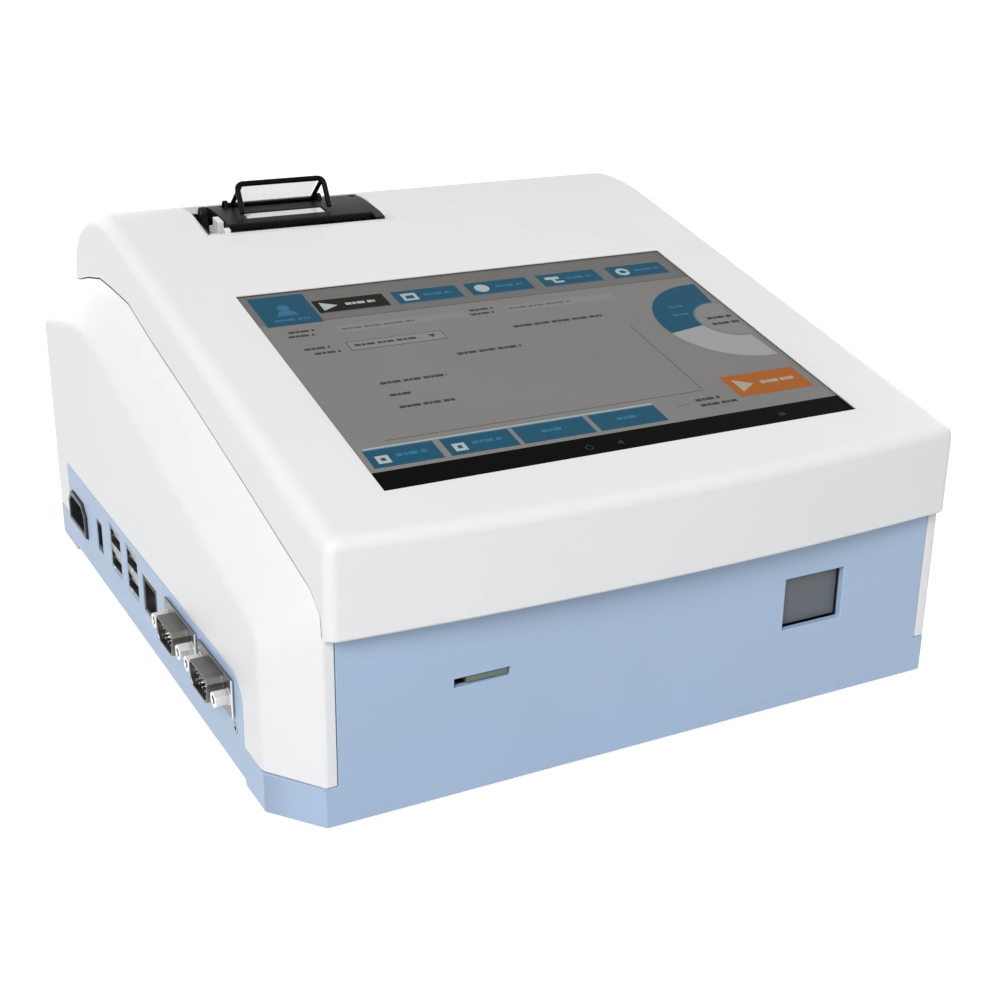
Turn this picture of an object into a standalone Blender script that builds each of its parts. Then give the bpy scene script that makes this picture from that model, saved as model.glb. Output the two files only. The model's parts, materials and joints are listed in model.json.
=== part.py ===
"""A benchtop immunoassay analyzer: a tilted touch screen over a cartridge reader, with a receipt printer.

Everything is measured from the case: x across from its middle, y back from the blue front wall, z up from
the lower edge of the blue tray. The empty named case then stands the whole instrument on its rubber feet,
with the origin under the middle of its box. All lengths are in metres.
"""
import math

import bmesh
import bpy
from mathutils import Matrix, Vector

# Fits that the whole instrument shares
GAP = 0.0003
WELD = 0.000001
OVERRUN = 0.002

# The case is laid out around the screen's window, which is measured along the tilted face from the lip's
# top edge: a bezel and a slanted corner on each side of it, and the deck with the printer behind it
WINDOW_HALF_WIDTH = 0.0817
WINDOW_START = 0.019
WINDOW_LENGTH = 0.1204
SIDE_BEZEL = 0.0253
CORNER_SPREAD = 0.0124
CORNER_RUN = 0.0159
PRINTER_DECK = 0.1068
CREST = 0.1331
WALL = 0.0025
FRONT_HALF_WIDTH = WINDOW_HALF_WIDTH + SIDE_BEZEL
HALF_WIDTH = FRONT_HALF_WIDTH + CORNER_SPREAD
DEPTH = WINDOW_START + WINDOW_LENGTH + PRINTER_DECK

# Blue tray, with its front wall and its port wall
TRAY_HEIGHT = 0.0125
FLOOR_BOTTOM = 0.0018
FLOOR_THICKNESS = 0.0025
SKIRT = 0.003
NOTCH_START = 0.032
NOTCH_AHEAD = 0.0212
FRONT_WALL_TOP = 0.062
PORT_WALL_START = 0.0315
PORT_WALL_AHEAD = 0.0157
PORT_WALL_TOP = 0.034
PORT_WALL_CORNER = 0.008

# White side shells: shares of the depth and of the crest, inner line and outer line of the chamfered ribbon
FRONT_STRIP = 0.0035
SHELL_EDGE = 0.0015
RIBBON_FOOT_SHARES = (0.069, 0.071, 0.3544)
RIBBON_LIP_SHARES = (0.002, 0.22, 0.0715, 0.3878)
RIBBON_SHARES = (
    (0.029, 0.5266, 0.084, 0.4231),
    (0.102, 0.5604, 0.133, 0.4433),
    (0.213, 0.6129, 0.2535, 0.4948),
    (0.3155, 0.6589, 0.349, 0.5392),
    (0.428, 0.7084, 0.4465, 0.5836),
    (0.5935, 0.7755, 0.623, 0.6644),
    (0.692, 0.8235, 0.694, 0.7048),
    (0.768, 0.8285, 0.772, 0.7205),
    (0.8375, 0.8295, 0.831, 0.7129),
    (0.9095, 0.8033, 0.902, 0.6877),
    (1.0, 0.7593, 1.0, 0.6478),
)

# White top cover: the crest's points are shares of the depth and of the crest
LIP_BOTTOM = 0.0585
LIP_TOP = 0.0879
LIP_DEPTH = 0.0041
LIP_BOW = 0.0045
LIP_SEAM = 0.0004
SLOPE_END_SHARES = (0.747, 0.9855)
CREST_SHARES = ((0.780, 0.9944), (0.8085, 0.9991), (0.8325, 1.0), (0.854, 0.9962), (0.8855, 0.9857),
                (0.917, 0.9647), (0.960, 0.9189), (0.990, 0.8502))
BOW_COLUMNS = 12
COVER_ROUND = 0.005
LIP_ROUND_SHARE = 0.64

# Screen, measured down into the tilted face
WINDOW_BEVEL = 0.004
WINDOW_BEVEL_DROP = 0.0007
GLASS_DROP = 0.0016
GLASS_THICKNESS = 0.0015
GLASS_MARGIN = 0.0043
TAPE_WIDTH = 0.0055
TAPE_THICKNESS = 0.0005
DISPLAY_MARGIN = 0.0068
DISPLAY_THICKNESS = 0.006
BRACKET_SHEET = 0.0012

# Rubber feet and screws
FOOT_RADIUS = 0.007
FOOT_HEIGHT = 0.0025
FOOT_INSET = 0.0214
FOOT_FRONT = 0.036
FOOT_AHEAD = 0.0362
SCREW_RADIUS = 0.0015
SCREW_HEAD_RADIUS = 0.0031
SCREW_HEAD = 0.0014
SCREW_LENGTH = 0.021
SCREW_INSET = 0.0094
BOSS_WIDTH = 0.0135
BOSS_DEPTH = 0.0085
BOSS_TOP = 0.028
FRONT_BOSS = 0.0195
REAR_BOSS_AHEAD = 0.0142
REAR_SCREW_HEIGHT = 0.06
REAR_SCREW_LENGTH = 0.009
BOSS_HEIGHT = 0.01
PORT_SCREW_BACK = 0.0075
PORT_SCREW_HEIGHT = 0.0153
PORT_SCREW_LENGTH = 0.0045

# Rear panel and mains switch
PANEL_SHOULDER = 0.0015
VENT_ROWS = 7
VENT_PITCH = 0.0062
VENT_HEIGHT = 0.0026
VENT_LENGTH = 0.058
VENT_X = -0.05
VENT_BOTTOM = 0.05
SWITCH_INSET = 0.0379
SWITCH_Z = 0.0405
SWITCH_WIDTH = 0.021
SWITCH_HEIGHT = 0.015
SWITCH_DEPTH = 0.02
SWITCH_WALL = 0.0015
ROCKER_HINGE = 0.0052
ROCKER_PIN = 0.001
ROCKER_DEPTH = 0.006
ROCKER_FACE = 0.0032
ROCKER_TILT = math.radians(8)

# Printer bucket, measured from the line of the lid's hinge
BUCKET_WALL = 0.002
HINGE_BEHIND_CREST = 0.0017
OPENING_LEFT = 0.0009
OPENING_RIGHT = 0.0024
OPENING_FRONT = 0.0279
OPENING_REAR = 0.0031
OPENING_LEFT_BEVEL = 0.0016
OPENING_RIGHT_BEVEL = 0.003
OPENING_FRONT_BEVEL = 0.0056
OPENING_BEVEL_DROP = 0.0012
RIM_LIP = 0.0008
RIM_DROP = 0.0016
BUCKET_FRONT = 0.0305
BUCKET_REAR = 0.0115
BUCKET_DEPTH = 0.0347
BUCKET_DROP = 0.0032
EAR_WIDTH = 0.0024
RIGHT_EAR_WIDTH = 0.0014
EAR_ROOM = 0.0007
EAR_HALF_DEPTH = 0.0028

# Printer lid, its hinge rod and its wire bail
DOOR_X = -0.0385
DOOR_FRONT = 0.0243
DOOR_PLATE = 0.0022
BARREL_RADIUS = 0.0024
HINGE_ROD = 0.0008
DOOR_WINDOW_SHARES = (-0.68, 0.4255)
DOOR_WINDOW_AHEAD = (0.0195, 0.0137)
PANE_DROP = 0.0003
PANE_THICKNESS = 0.0012
CHEEK = 0.0016
CHEEK_DROP = 0.0025
CHEEK_REACH = 0.0026
BAIL_SHIFT_SHARE = -0.1273
BAIL_WIDTH_SHARE = 0.6036
BAIL_WIRE = 0.001
BAIL_LEG_WIRE = 0.0008
BAIL_HINGE_AHEAD = 0.0038
BAIL_HINGE_UP = 0.0005
BAIL_TOP_AHEAD = 0.0091
BAIL_TOP_UP = 0.0092
BAIL_FOOT_AHEAD = 0.0149
BAIL_CORNER = 0.002
BAIL_PANE = 0.0006
LUG_WIDTH = 0.0016
LUG_OUT = 0.0015
LUG_HALF_DEPTH = 0.0019

# Paper drive: platen, gears, motor, print head and roll
PLATEN_AHEAD = 0.0217
PLATEN_BELOW = 0.0075
PLATEN_SHAFT = 0.0012
PLATEN_RADIUS = 0.0034
PLATEN_END = 0.0014
GEAR_MODULE = 0.0008
GEAR_ADDENDUM = 0.00064
GEAR_DEDENDUM = 0.0008
GEAR_BACKLASH = 0.00014
GEAR_WIDTH = 0.0032
GEAR_PRESSURE = math.radians(25)
GEAR_OUT = 0.0028
GEAR_ROOM = 0.0016
PLATEN_TEETH = 10
IDLER_TEETH = 16
MOTOR_TEETH = 10
IDLER_ANGLE = math.radians(-70.9)
MOTOR_ANGLE = math.radians(-45)
IDLER_PIN = 0.0012
PRINTER_MOTOR_RADIUS = 0.0075
PRINTER_MOTOR_LENGTH = 0.013
MOTOR_SHAFT = 0.001
MOTOR_GRIP = 0.003
HEAD_THICKNESS = 0.0026
HEAD_HEIGHT = 0.0116
HEAD_DROP = 0.0004
TEAR_THICKNESS = 0.001
TEAR_DROP = 0.0012
TEAR_TEETH = 22
TEAR_TOOTH = 0.0007
ROLL_AHEAD = 0.0059
ROLL_RADIUS = 0.0145
ROLL_WIDTH = 0.057
ROLL_CORE = 0.006
ROLL_END = 0.002
GEAR_PLATE_BEHIND = 0.0142
GEAR_PLATE_DROP = 0.0003
SLOT_ROOM = 0.0004
SLOT_LEAN = 0.003
DECK_SHEET = 0.0013

# Cartridge tray, its channel and its drive
BAY_X = 0.05885
BAY_WIDTH = 0.0221
BAY_BOTTOM = 0.0276
BAY_HEIGHT = 0.0168
BAY_PLAY = 0.0004
TRAY_FACE = 0.0025
TRAY_SIDE_PLAY = 0.0002
TRAY_LENGTH = 0.0896
TRAY_LIFT = 0.0021
TRAY_DEPTH = 0.0063
TRAY_RIM = 0.0014
TRAY_WELL = 0.005
TRAY_WELL_LENGTH = 0.07
TRAY_WELL_SETBACK = 0.0026
RACK_INSET = 0.0015
RACK_WIDTH = 0.004
RACK_TEETH = 28
RACK_AHEAD = 0.0037
TRAY_PINION_TEETH = 14
PINION_BACK = 0.02
CHANNEL_WALL = 0.0022
CHANNEL_PLAY = 0.0008
CHANNEL_LENGTH = 0.0972
CHANNEL_TOP = 0.046
LEDGE = 0.0011
RIB = 0.0015
CHANNEL_FOOT = 0.006
CHANNEL_FOOT_SHARE = 0.4
MOTOR_LUG_HALF = 0.013
PINION_SLOT_HALF = 0.007
TRAY_MOTOR_RADIUS = 0.009
TRAY_MOTOR_LENGTH = 0.0167
OPTIC_START = 0.06
OPTIC_LENGTH = 0.032
OPTIC_WIDTH = 0.026
OPTIC_HEIGHT = 0.0177
BARREL_LENGTH = 0.0078
OPTIC_BARREL = 0.005
LENS_RADIUS = 0.0036
LENS_THICKNESS = 0.0023
LENS_INSET = 0.0004

# Code chip and its socket
CHIP_X = -0.0567
CHIP_WIDTH = 0.0134
CHIP_BOTTOM = 0.0348
CHIP_THICKNESS = 0.0022
CHIP_LENGTH = 0.0191
CHIP_FACE = 0.0009
SLOT_LEFT = 0.0109
SLOT_RIGHT = 0.007
SLOT_SILL = 0.0003
SOCKET_WALL = 0.0035
SOCKET_DEPTH = 0.0212
SOCKET_BOTTOM = 0.029
SOCKET_ROOF = 0.0044

# Board, power supply and the connectors on the left
BOARD_LEFT = 0.0064
BOARD_RIGHT = -0.022
BOARD_FRONT = 0.036
BOARD_AHEAD = 0.0482
BOARD_THICKNESS = 0.0016
BOARD_BOSS = 0.003
BOARD_BOSS_HEIGHT = 0.0074
BOARD_BOSS_INSET = 0.005
BOARD_CHIPS_SHARES = ((0.42, 0.16, 0.20, 0.12, 0.30), (0.62, 0.52, 0.30, 0.14, 0.9),
                      (0.40, 0.78, 0.16, 0.10, 1.0), (0.75, 0.84, 0.12, 0.12, 0.6))
BOARD_CHIP_HEIGHT = 0.008
SUPPLY_INSET = 0.0294
SUPPLY_WIDTH = 0.1
SUPPLY_DEPTH = 0.032
SUPPLY_AHEAD = 0.0062
SUPPLY_HEIGHT = 0.035
PORT_REST = 0.0003
PORT_SPACING_SHARES = (0.1041, 0.0426, 0.2035, 0.0931, 0.123, 0.1861, 0.2255)
PORT_METAL = 0.0006
JACK_WIDTH = 0.0162
JACK_HEIGHT = 0.0136
JACK_MOUTH = 0.0118
JACK_MOUTH_HEIGHT = 0.01
JACK_MOUTH_DROP = 0.0017
JACK_DEPTH = 0.021
JACK_WELL = 0.014
USB_WIDTH = 0.0132
USB_HEIGHT = 0.0172
USB_DEPTH = 0.0175
USB_WELL = 0.012
USB_MOUTH_HEIGHT = 0.0053
USB_TONGUE_HEIGHT = 0.0018
USB_TONGUE_WIDTH = 0.0085
SERVICE_WIDTH = 0.0072
SERVICE_HEIGHT = 0.0117
SERVICE_DEPTH = 0.012
SERVICE_WELL = 0.009
SERVICE_WALL = 0.001
SERIAL_Z = 0.025
FLANGE_EDGE = 0.0002
FLANGE_HEIGHT = 0.0125
FLANGE_THICKNESS = 0.0007
SERIAL_PROUD = 0.006
DSHELL_WIDTH = 0.0169
DSHELL_HEIGHT = 0.0083
DSHELL_SLANT = 0.0008
DSHELL_WALL = 0.0005
INSERT_DEPTH = 0.012
INSERT_PROUD = 0.0018
STANDOFF_SPACING = 0.025
STANDOFF_RADIUS = 0.0027
STANDOFF_HOLE = 0.0014
STANDOFF_SHY = 0.0004
PIN_RADIUS = 0.0005
PIN_PITCH = 0.00277
PIN_ROW = 0.00142
PIN_SHY = 0.0008
INLET_Z = 0.0183
INLET_WIDTH = 0.0242
INLET_HEIGHT = 0.0128
INLET_WALL = 0.0016
INLET_CORNER = 0.004
INLET_PROUD = 0.001
INLET_DEPTH = 0.0224
CONTACT_BLOCK = 0.0046
BLADE_LENGTH = 0.013
BLADE_SIZE = (0.0016, 0.004)
BLADE_SPACING = 0.007
BLADE_DROP = 0.0017
BLADE_RISE = 0.0023

PORT_WALL_END = DEPTH - PORT_WALL_AHEAD
REAR_BOSS = DEPTH - REAR_BOSS_AHEAD
BOARD_REAR = DEPTH - BOARD_AHEAD
SWITCH_X = HALF_WIDTH - SWITCH_INSET
FLOOR_TOP = FLOOR_BOTTOM + FLOOR_THICKNESS
SHELL_BOTTOM = TRAY_HEIGHT + GAP
BOARD_TOP = FLOOR_TOP + BOARD_BOSS_HEIGHT + GAP + BOARD_THICKNESS
PORT_FLOOR = BOARD_TOP + PORT_REST
FLANGE_WIDTH = STANDOFF_SPACING + 2 * (STANDOFF_RADIUS + FLANGE_EDGE)

# The connectors stand in a row in the port wall and share out the length that they leave free
port_widths = (FLANGE_WIDTH, FLANGE_WIDTH, JACK_WIDTH, USB_WIDTH, USB_WIDTH, SERVICE_WIDTH, INLET_WIDTH)
free_length = PORT_WALL_END - PORT_WALL_START - sum(port_widths)
port_middles = []
reached = PORT_WALL_START
for width, share in zip(port_widths, PORT_SPACING_SHARES):
    port_middles.append(reached + share * free_length + width / 2)
    reached += share * free_length + width
SERIAL_YS = port_middles[:2]
JACK_Y = port_middles[2]
USB_YS = (port_middles[4], port_middles[3])
SERVICE_Y, INLET_Y = port_middles[5:]

# Colour, roughness and metallic value of each finish
FINISHES = {
    "white_plastic": ((0.80, 0.80, 0.81), 0.35, 0.0),
    "blue_plastic": ((0.38, 0.50, 0.68), 0.4, 0.0),
    "grey_plastic": ((0.09, 0.105, 0.12), 0.45, 0.0),
    "black_plastic": ((0.012, 0.012, 0.014), 0.4, 0.0),
    "natural_nylon": ((0.72, 0.71, 0.68), 0.45, 0.0),
    "rubber": ((0.03, 0.03, 0.032), 0.85, 0.0),
    "screen_glass": ((0.22, 0.215, 0.205), 0.12, 0.0),
    "steel": ((0.56, 0.56, 0.57), 0.3, 1.0),
    "bracket_sheet": ((0.60, 0.60, 0.61), 0.4, 1.0),
    "black_wire": ((0.02, 0.02, 0.02), 0.35, 0.6),
    "nickel": ((0.66, 0.63, 0.58), 0.28, 1.0),
    "paper": ((0.82, 0.82, 0.81), 0.8, 0.0),
    "board_green": ((0.02, 0.11, 0.05), 0.45, 0.0),
    "chip_green": ((0.12, 0.16, 0.13), 0.5, 0.0),
    "lens_glass": ((0.55, 0.60, 0.66), 0.05, 0.0),
}

AXES = {
    "x": Matrix(((0, 0, 1), (1, 0, 0), (0, 1, 0))),
    "y": Matrix(((1, 0, 0), (0, 0, -1), (0, 1, 0))),
    "z": Matrix.Identity(3),
}


for old in list(bpy.data.objects):
    bpy.data.objects.remove(old)
parts = bpy.data.collections.new("immunoassay_analyzer")
cutters = bpy.data.collections.new("cutters")
bpy.context.scene.collection.children.link(parts)
bpy.context.scene.collection.children.link(cutters)


def new_object(name, shape):
    """Makes an object in the parts collection from a finished bmesh."""
    mesh = bpy.data.meshes.new(name)
    shape.to_mesh(mesh)
    shape.free()
    piece = bpy.data.objects.new(name, mesh)
    parts.objects.link(piece)
    return piece


def box(name, low, high):
    """A block between two corners."""
    low, high = Vector(low), Vector(high)
    shape = bmesh.new()
    bmesh.ops.create_cube(shape, size=1)
    bmesh.ops.scale(shape, vec=high - low, verts=shape.verts)
    bmesh.ops.translate(shape, vec=(low + high) / 2, verts=shape.verts)
    return new_object(name, shape)


def rod(name, radius, start, end, sides=16):
    """A round bar between two points."""
    start, end = Vector(start), Vector(end)
    shape = bmesh.new()
    bmesh.ops.create_cone(shape, cap_ends=True, segments=sides, radius1=radius, radius2=radius,
                          depth=(end - start).length)
    turn = (end - start).to_track_quat("Z", "Y").to_matrix().to_4x4()
    bmesh.ops.transform(shape, matrix=Matrix.Translation((start + end) / 2) @ turn, verts=shape.verts)
    return smooth(new_object(name, shape))


def smooth(piece):
    """Shades the round faces smooth and keeps the corners sharp."""
    piece.data.shade_smooth()
    piece.data.set_sharp_from_angle(angle=math.radians(35))
    return piece


def meshed(guide):
    """Turns a curve into a closed mesh with its caps welded on."""
    parts.objects.link(guide)
    bpy.context.view_layer.update()
    evaluated = guide.evaluated_get(bpy.context.evaluated_depsgraph_get())
    mesh = bpy.data.meshes.new_from_object(evaluated)
    place = guide.matrix_world.copy()
    name = guide.name
    bpy.data.objects.remove(guide)
    shape = bmesh.new()
    shape.from_mesh(mesh)
    bmesh.ops.remove_doubles(shape, verts=shape.verts, dist=WELD)
    bmesh.ops.recalc_face_normals(shape, faces=shape.faces)
    piece = new_object(name, shape)
    piece.matrix_world = place
    return smooth(piece)


def plate(name, outline, axis, low, high, holes=()):
    """A flat outline with holes, as thick as from low to high along the axis."""
    curve = bpy.data.curves.new(name, "CURVE")
    curve.dimensions = "2D"
    curve.fill_mode = "BOTH"
    curve.extrude = (high - low) / 2
    for loop in (outline, *holes):
        spline = curve.splines.new("POLY")
        spline.points.add(len(loop) - 1)
        for point, place in zip(spline.points, loop):
            point.co = (place[0], place[1], 0, 1)
        spline.use_cyclic_u = True
    guide = bpy.data.objects.new(name, curve)
    middle = Vector((0, 0, 0))
    middle["xyz".index(axis)] = (low + high) / 2
    guide.matrix_world = Matrix.Translation(middle) @ AXES[axis].to_4x4()
    return meshed(guide)


def wire(name, points, radius):
    """A bent wire along a line of points."""
    curve = bpy.data.curves.new(name, "CURVE")
    curve.dimensions = "3D"
    curve.bevel_depth = radius
    curve.bevel_resolution = 2
    curve.use_fill_caps = True
    spline = curve.splines.new("POLY")
    spline.points.add(len(points) - 1)
    for point, place in zip(spline.points, points):
        point.co = (*place, 1)
    return meshed(bpy.data.objects.new(name, curve))


def shape_with(target, operation, tools):
    """Cuts or joins each tool into the target and moves the tool out of the model."""
    for tool in tools:
        parts.objects.unlink(tool)
        cutters.objects.link(tool)
        tool.hide_render = True
        tool.display_type = "WIRE"
        step = target.modifiers.new(tool.name, "BOOLEAN")
        step.operation = operation
        step.object = tool
    return target


def cut(target, *tools):
    return shape_with(target, "DIFFERENCE", tools)


def join(target, *tools):
    return shape_with(target, "UNION", tools)


def hang(piece, point):
    """Puts a piece's origin on its joint."""
    point = Vector(point)
    inside = piece.matrix_basis.inverted() @ point
    piece.data.transform(Matrix.Translation(-inside))
    piece.location = point
    return piece


def finish(piece, slot):
    """Gives the piece its material, made the first time it is used."""
    material = bpy.data.materials.get(slot)
    if material is None:
        material = bpy.data.materials.new(slot)
        material.use_nodes = True
        colour, roughness, metallic = FINISHES[slot]
        shader = material.node_tree.nodes["Principled BSDF"]
        shader.inputs["Base Color"].default_value = (*colour, 1)
        shader.inputs["Roughness"].default_value = roughness
        shader.inputs["Metallic"].default_value = metallic
    piece.data.materials.clear()
    piece.data.materials.append(material)
    return piece


def offset(points, distance, closed):
    """Moves a line sideways to its left, with mitred corners."""
    count = len(points)
    spans = []
    for index in range(count if closed else count - 1):
        run = Vector(points[(index + 1) % count]) - Vector(points[index])
        spans.append(Vector((-run.y, run.x)).normalized())
    moved = []
    for index, point in enumerate(points):
        before = spans[index - 1] if closed or index else spans[0]
        after = spans[index % len(spans)] if closed or index < count - 1 else spans[-1]
        moved.append(tuple(Vector(point) + (before + after) * distance / (1 + before.dot(after))))
    return moved


def arc(centre, radius, start, end, steps):
    """Points along a round corner, in a plane."""
    turns = [start + (end - start) * step / steps for step in range(steps + 1)]
    return [(centre[0] + radius * math.cos(turn), centre[1] + radius * math.sin(turn)) for turn in turns]


def circle(centre, radius, sides=16):
    return arc(centre, radius, 0, 2 * math.pi * (sides - 1) / sides, sides - 1)


def rectangle(low, high):
    return [(low[0], low[1]), (high[0], low[1]), (high[0], high[1]), (low[0], high[1])]


def ribbon_lines():
    """Inner and outer line of the side shell's chamfered ribbon, from the front foot to the rear."""
    foot_y, knee_y, knee_z = RIBBON_FOOT_SHARES
    lip_in, lip_up, lip_out, lip_out_up = RIBBON_LIP_SHARES
    inner = [(0, SHELL_BOTTOM), (0, LIP_BOTTOM - GAP)]
    inner.append((lip_in * DEPTH, LIP_BOTTOM + lip_up * (LIP_TOP - LIP_BOTTOM)))
    outer = [(foot_y * DEPTH, SHELL_BOTTOM), (knee_y * DEPTH, knee_z * CREST)]
    outer.append((lip_out * DEPTH, lip_out_up * CREST))
    for inner_y, inner_z, outer_y, outer_z in RIBBON_SHARES:
        inner.append((inner_y * DEPTH, inner_z * CREST))
        outer.append((outer_y * DEPTH, outer_z * CREST))
    return inner, outer


SLOPE_END = (SLOPE_END_SHARES[0] * DEPTH, SLOPE_END_SHARES[1] * CREST)
SLOPE = (SLOPE_END[1] - LIP_TOP) / (SLOPE_END[0] + LIP_DEPTH)
REAR_EDGE = RIBBON_SHARES[-1][1] * CREST + GAP


def cover_line(bow):
    """The cover's outer line from under the lip, over the crest and down to the rear edge."""
    front = -LIP_DEPTH - bow
    line = [(-LIP_SEAM, LIP_BOTTOM), (front, LIP_BOTTOM), (front, LIP_TOP - SLOPE * bow), SLOPE_END]
    line += [(share_y * DEPTH, share_z * CREST) for share_y, share_z in CREST_SHARES]
    return line + [(DEPTH, REAR_EDGE)]


def cover_height(y):
    """Height of the cover's outer face above a point."""
    line = cover_line(0)[2:]
    for (near_y, near_z), (far_y, far_z) in zip(line, line[1:]):
        if y <= far_y:
            return near_z + (far_z - near_z) * (y - near_y) / (far_y - near_y)
    return line[-1][1]


HINGE_Y = CREST_SHARES[2][0] * DEPTH + HINGE_BEHIND_CREST
HINGE_Z = cover_height(HINGE_Y) - BARREL_RADIUS
DOOR_HALF_WIDTH = (ROLL_WIDTH - ROLL_END) / 2
BAIL_X = DOOR_X + BAIL_SHIFT_SHARE * DOOR_HALF_WIDTH
BAIL_HALF_WIDTH = BAIL_WIDTH_SHARE * DOOR_HALF_WIDTH
BUCKET_LEFT = DOOR_X - DOOR_HALF_WIDTH - GEAR_OUT - GEAR_WIDTH - GEAR_ROOM - BUCKET_WALL
BUCKET_RIGHT = DOOR_X + DOOR_HALF_WIDTH + ROLL_END + GAP + RIGHT_EAR_WIDTH + EAR_ROOM + BUCKET_WALL


def tray():
    """The blue tray: floor, skirt, front wall behind the lip and the port wall on the left."""
    plan = [(FRONT_HALF_WIDTH, 0), (HALF_WIDTH, CORNER_RUN), (HALF_WIDTH, DEPTH), (-HALF_WIDTH, DEPTH),
            (-HALF_WIDTH, CORNER_RUN), (-FRONT_HALF_WIDTH, 0)]
    piece = plate("base_tray", plan, "z", 0, TRAY_HEIGHT)
    cut(piece, plate("tray_inside", offset(plan, WALL, True), "z", FLOOR_TOP, TRAY_HEIGHT + OVERRUN))
    cut(piece, plate("tray_underside", offset(plan, SKIRT, True), "z", -OVERRUN, FLOOR_BOTTOM))
    reach = HALF_WIDTH + OVERRUN
    cut(piece, box("tray_notches", (-reach, NOTCH_START, -OVERRUN),
                   (reach, DEPTH - NOTCH_AHEAD, FLOOR_BOTTOM)))
    width = FRONT_HALF_WIDTH - FRONT_STRIP - GAP
    join(piece, box("front_wall", (-width, 0, FLOOR_TOP), (width, WALL, FRONT_WALL_TOP)))
    join(piece, plate("port_wall", port_wall_line(0), "x", -HALF_WIDTH, -HALF_WIDTH + WALL))
    for number, (x, y) in enumerate(board_bosses()):
        join(piece, rod(f"board_boss_{number}", BOARD_BOSS, (x, y, FLOOR_BOTTOM + GAP),
                        (x, y, FLOOR_TOP + BOARD_BOSS_HEIGHT)))
    for number, (x, y) in enumerate(case_screws()):
        cut(piece, rod(f"screw_hole_{number}", SCREW_RADIUS + GAP, (x, y, 0), (x, y, TRAY_HEIGHT)))
    bay = BAY_WIDTH / 2 + BAY_PLAY
    cut(piece, box("bay_window", (BAY_X - bay, -OVERRUN, BAY_BOTTOM - BAY_PLAY),
                   (BAY_X + bay, WALL + OVERRUN, BAY_BOTTOM + BAY_HEIGHT + BAY_PLAY)))
    cut(piece, box("chip_slot", (CHIP_X - SLOT_LEFT, -OVERRUN, CHIP_BOTTOM - SLOT_SILL),
                   (CHIP_X + SLOT_RIGHT, WALL + OVERRUN, CHIP_BOTTOM + CHIP_THICKNESS + SLOT_SILL)))
    for name, outline in port_holes().items():
        cut(piece, plate(name, outline, "x", -reach, -HALF_WIDTH + WALL + OVERRUN))
    finish(piece, "blue_plastic")


def port_wall_line(grow):
    """The port wall's outline, with its rounded front top corner, grown by a gap where it is cut out."""
    start, end = PORT_WALL_START - grow, PORT_WALL_END + grow
    top, corner = PORT_WALL_TOP + grow, PORT_WALL_CORNER + grow
    bottom = FLOOR_TOP if grow == 0 else SHELL_BOTTOM - OVERRUN
    round_corner = arc((start + corner, top - corner), corner, math.pi / 2, math.pi, 6)
    return [(start, bottom), (end, bottom), (end, top), *round_corner]


def port_holes():
    """Cut-outs of the port wall, each a gap larger than the connector that stands in it."""
    def around(y, low, width, height):
        return rectangle((y - width / 2 - GAP, low - GAP), (y + width / 2 + GAP, low + height + GAP))

    holes = {
        "jack_hole": around(JACK_Y, PORT_FLOOR, JACK_WIDTH, JACK_HEIGHT),
        "service_hole": around(SERVICE_Y, PORT_FLOOR, SERVICE_WIDTH, SERVICE_HEIGHT),
        "inlet_hole": offset(inlet_line(0), -GAP, True),
        "port_screw_hole": circle((PORT_WALL_START + PORT_SCREW_BACK, PORT_SCREW_HEIGHT),
                                  SCREW_RADIUS + GAP, 12),
    }
    for number, y in enumerate(USB_YS):
        holes[f"usb_hole_{number}"] = around(y, PORT_FLOOR, USB_WIDTH, USB_HEIGHT)
    for number, y in enumerate(SERIAL_YS):
        holes[f"serial_hole_{number}"] = around(y, SERIAL_Z - DSHELL_HEIGHT / 2, DSHELL_WIDTH, DSHELL_HEIGHT)
    return holes


def board_bosses():
    left = -HALF_WIDTH + BOARD_LEFT + BOARD_BOSS_INSET
    right = BOARD_RIGHT - BOARD_BOSS_INSET
    front, rear = BOARD_FRONT + BOARD_BOSS_INSET, BOARD_REAR - BOARD_BOSS_INSET
    return [(x, y) for x in (left, right) for y in (front, rear)]


def case_screws():
    x = HALF_WIDTH - SCREW_INSET
    return [(side * x, start + BOSS_DEPTH / 2) for side in (-1, 1) for start in (FRONT_BOSS, REAR_BOSS)]


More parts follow.
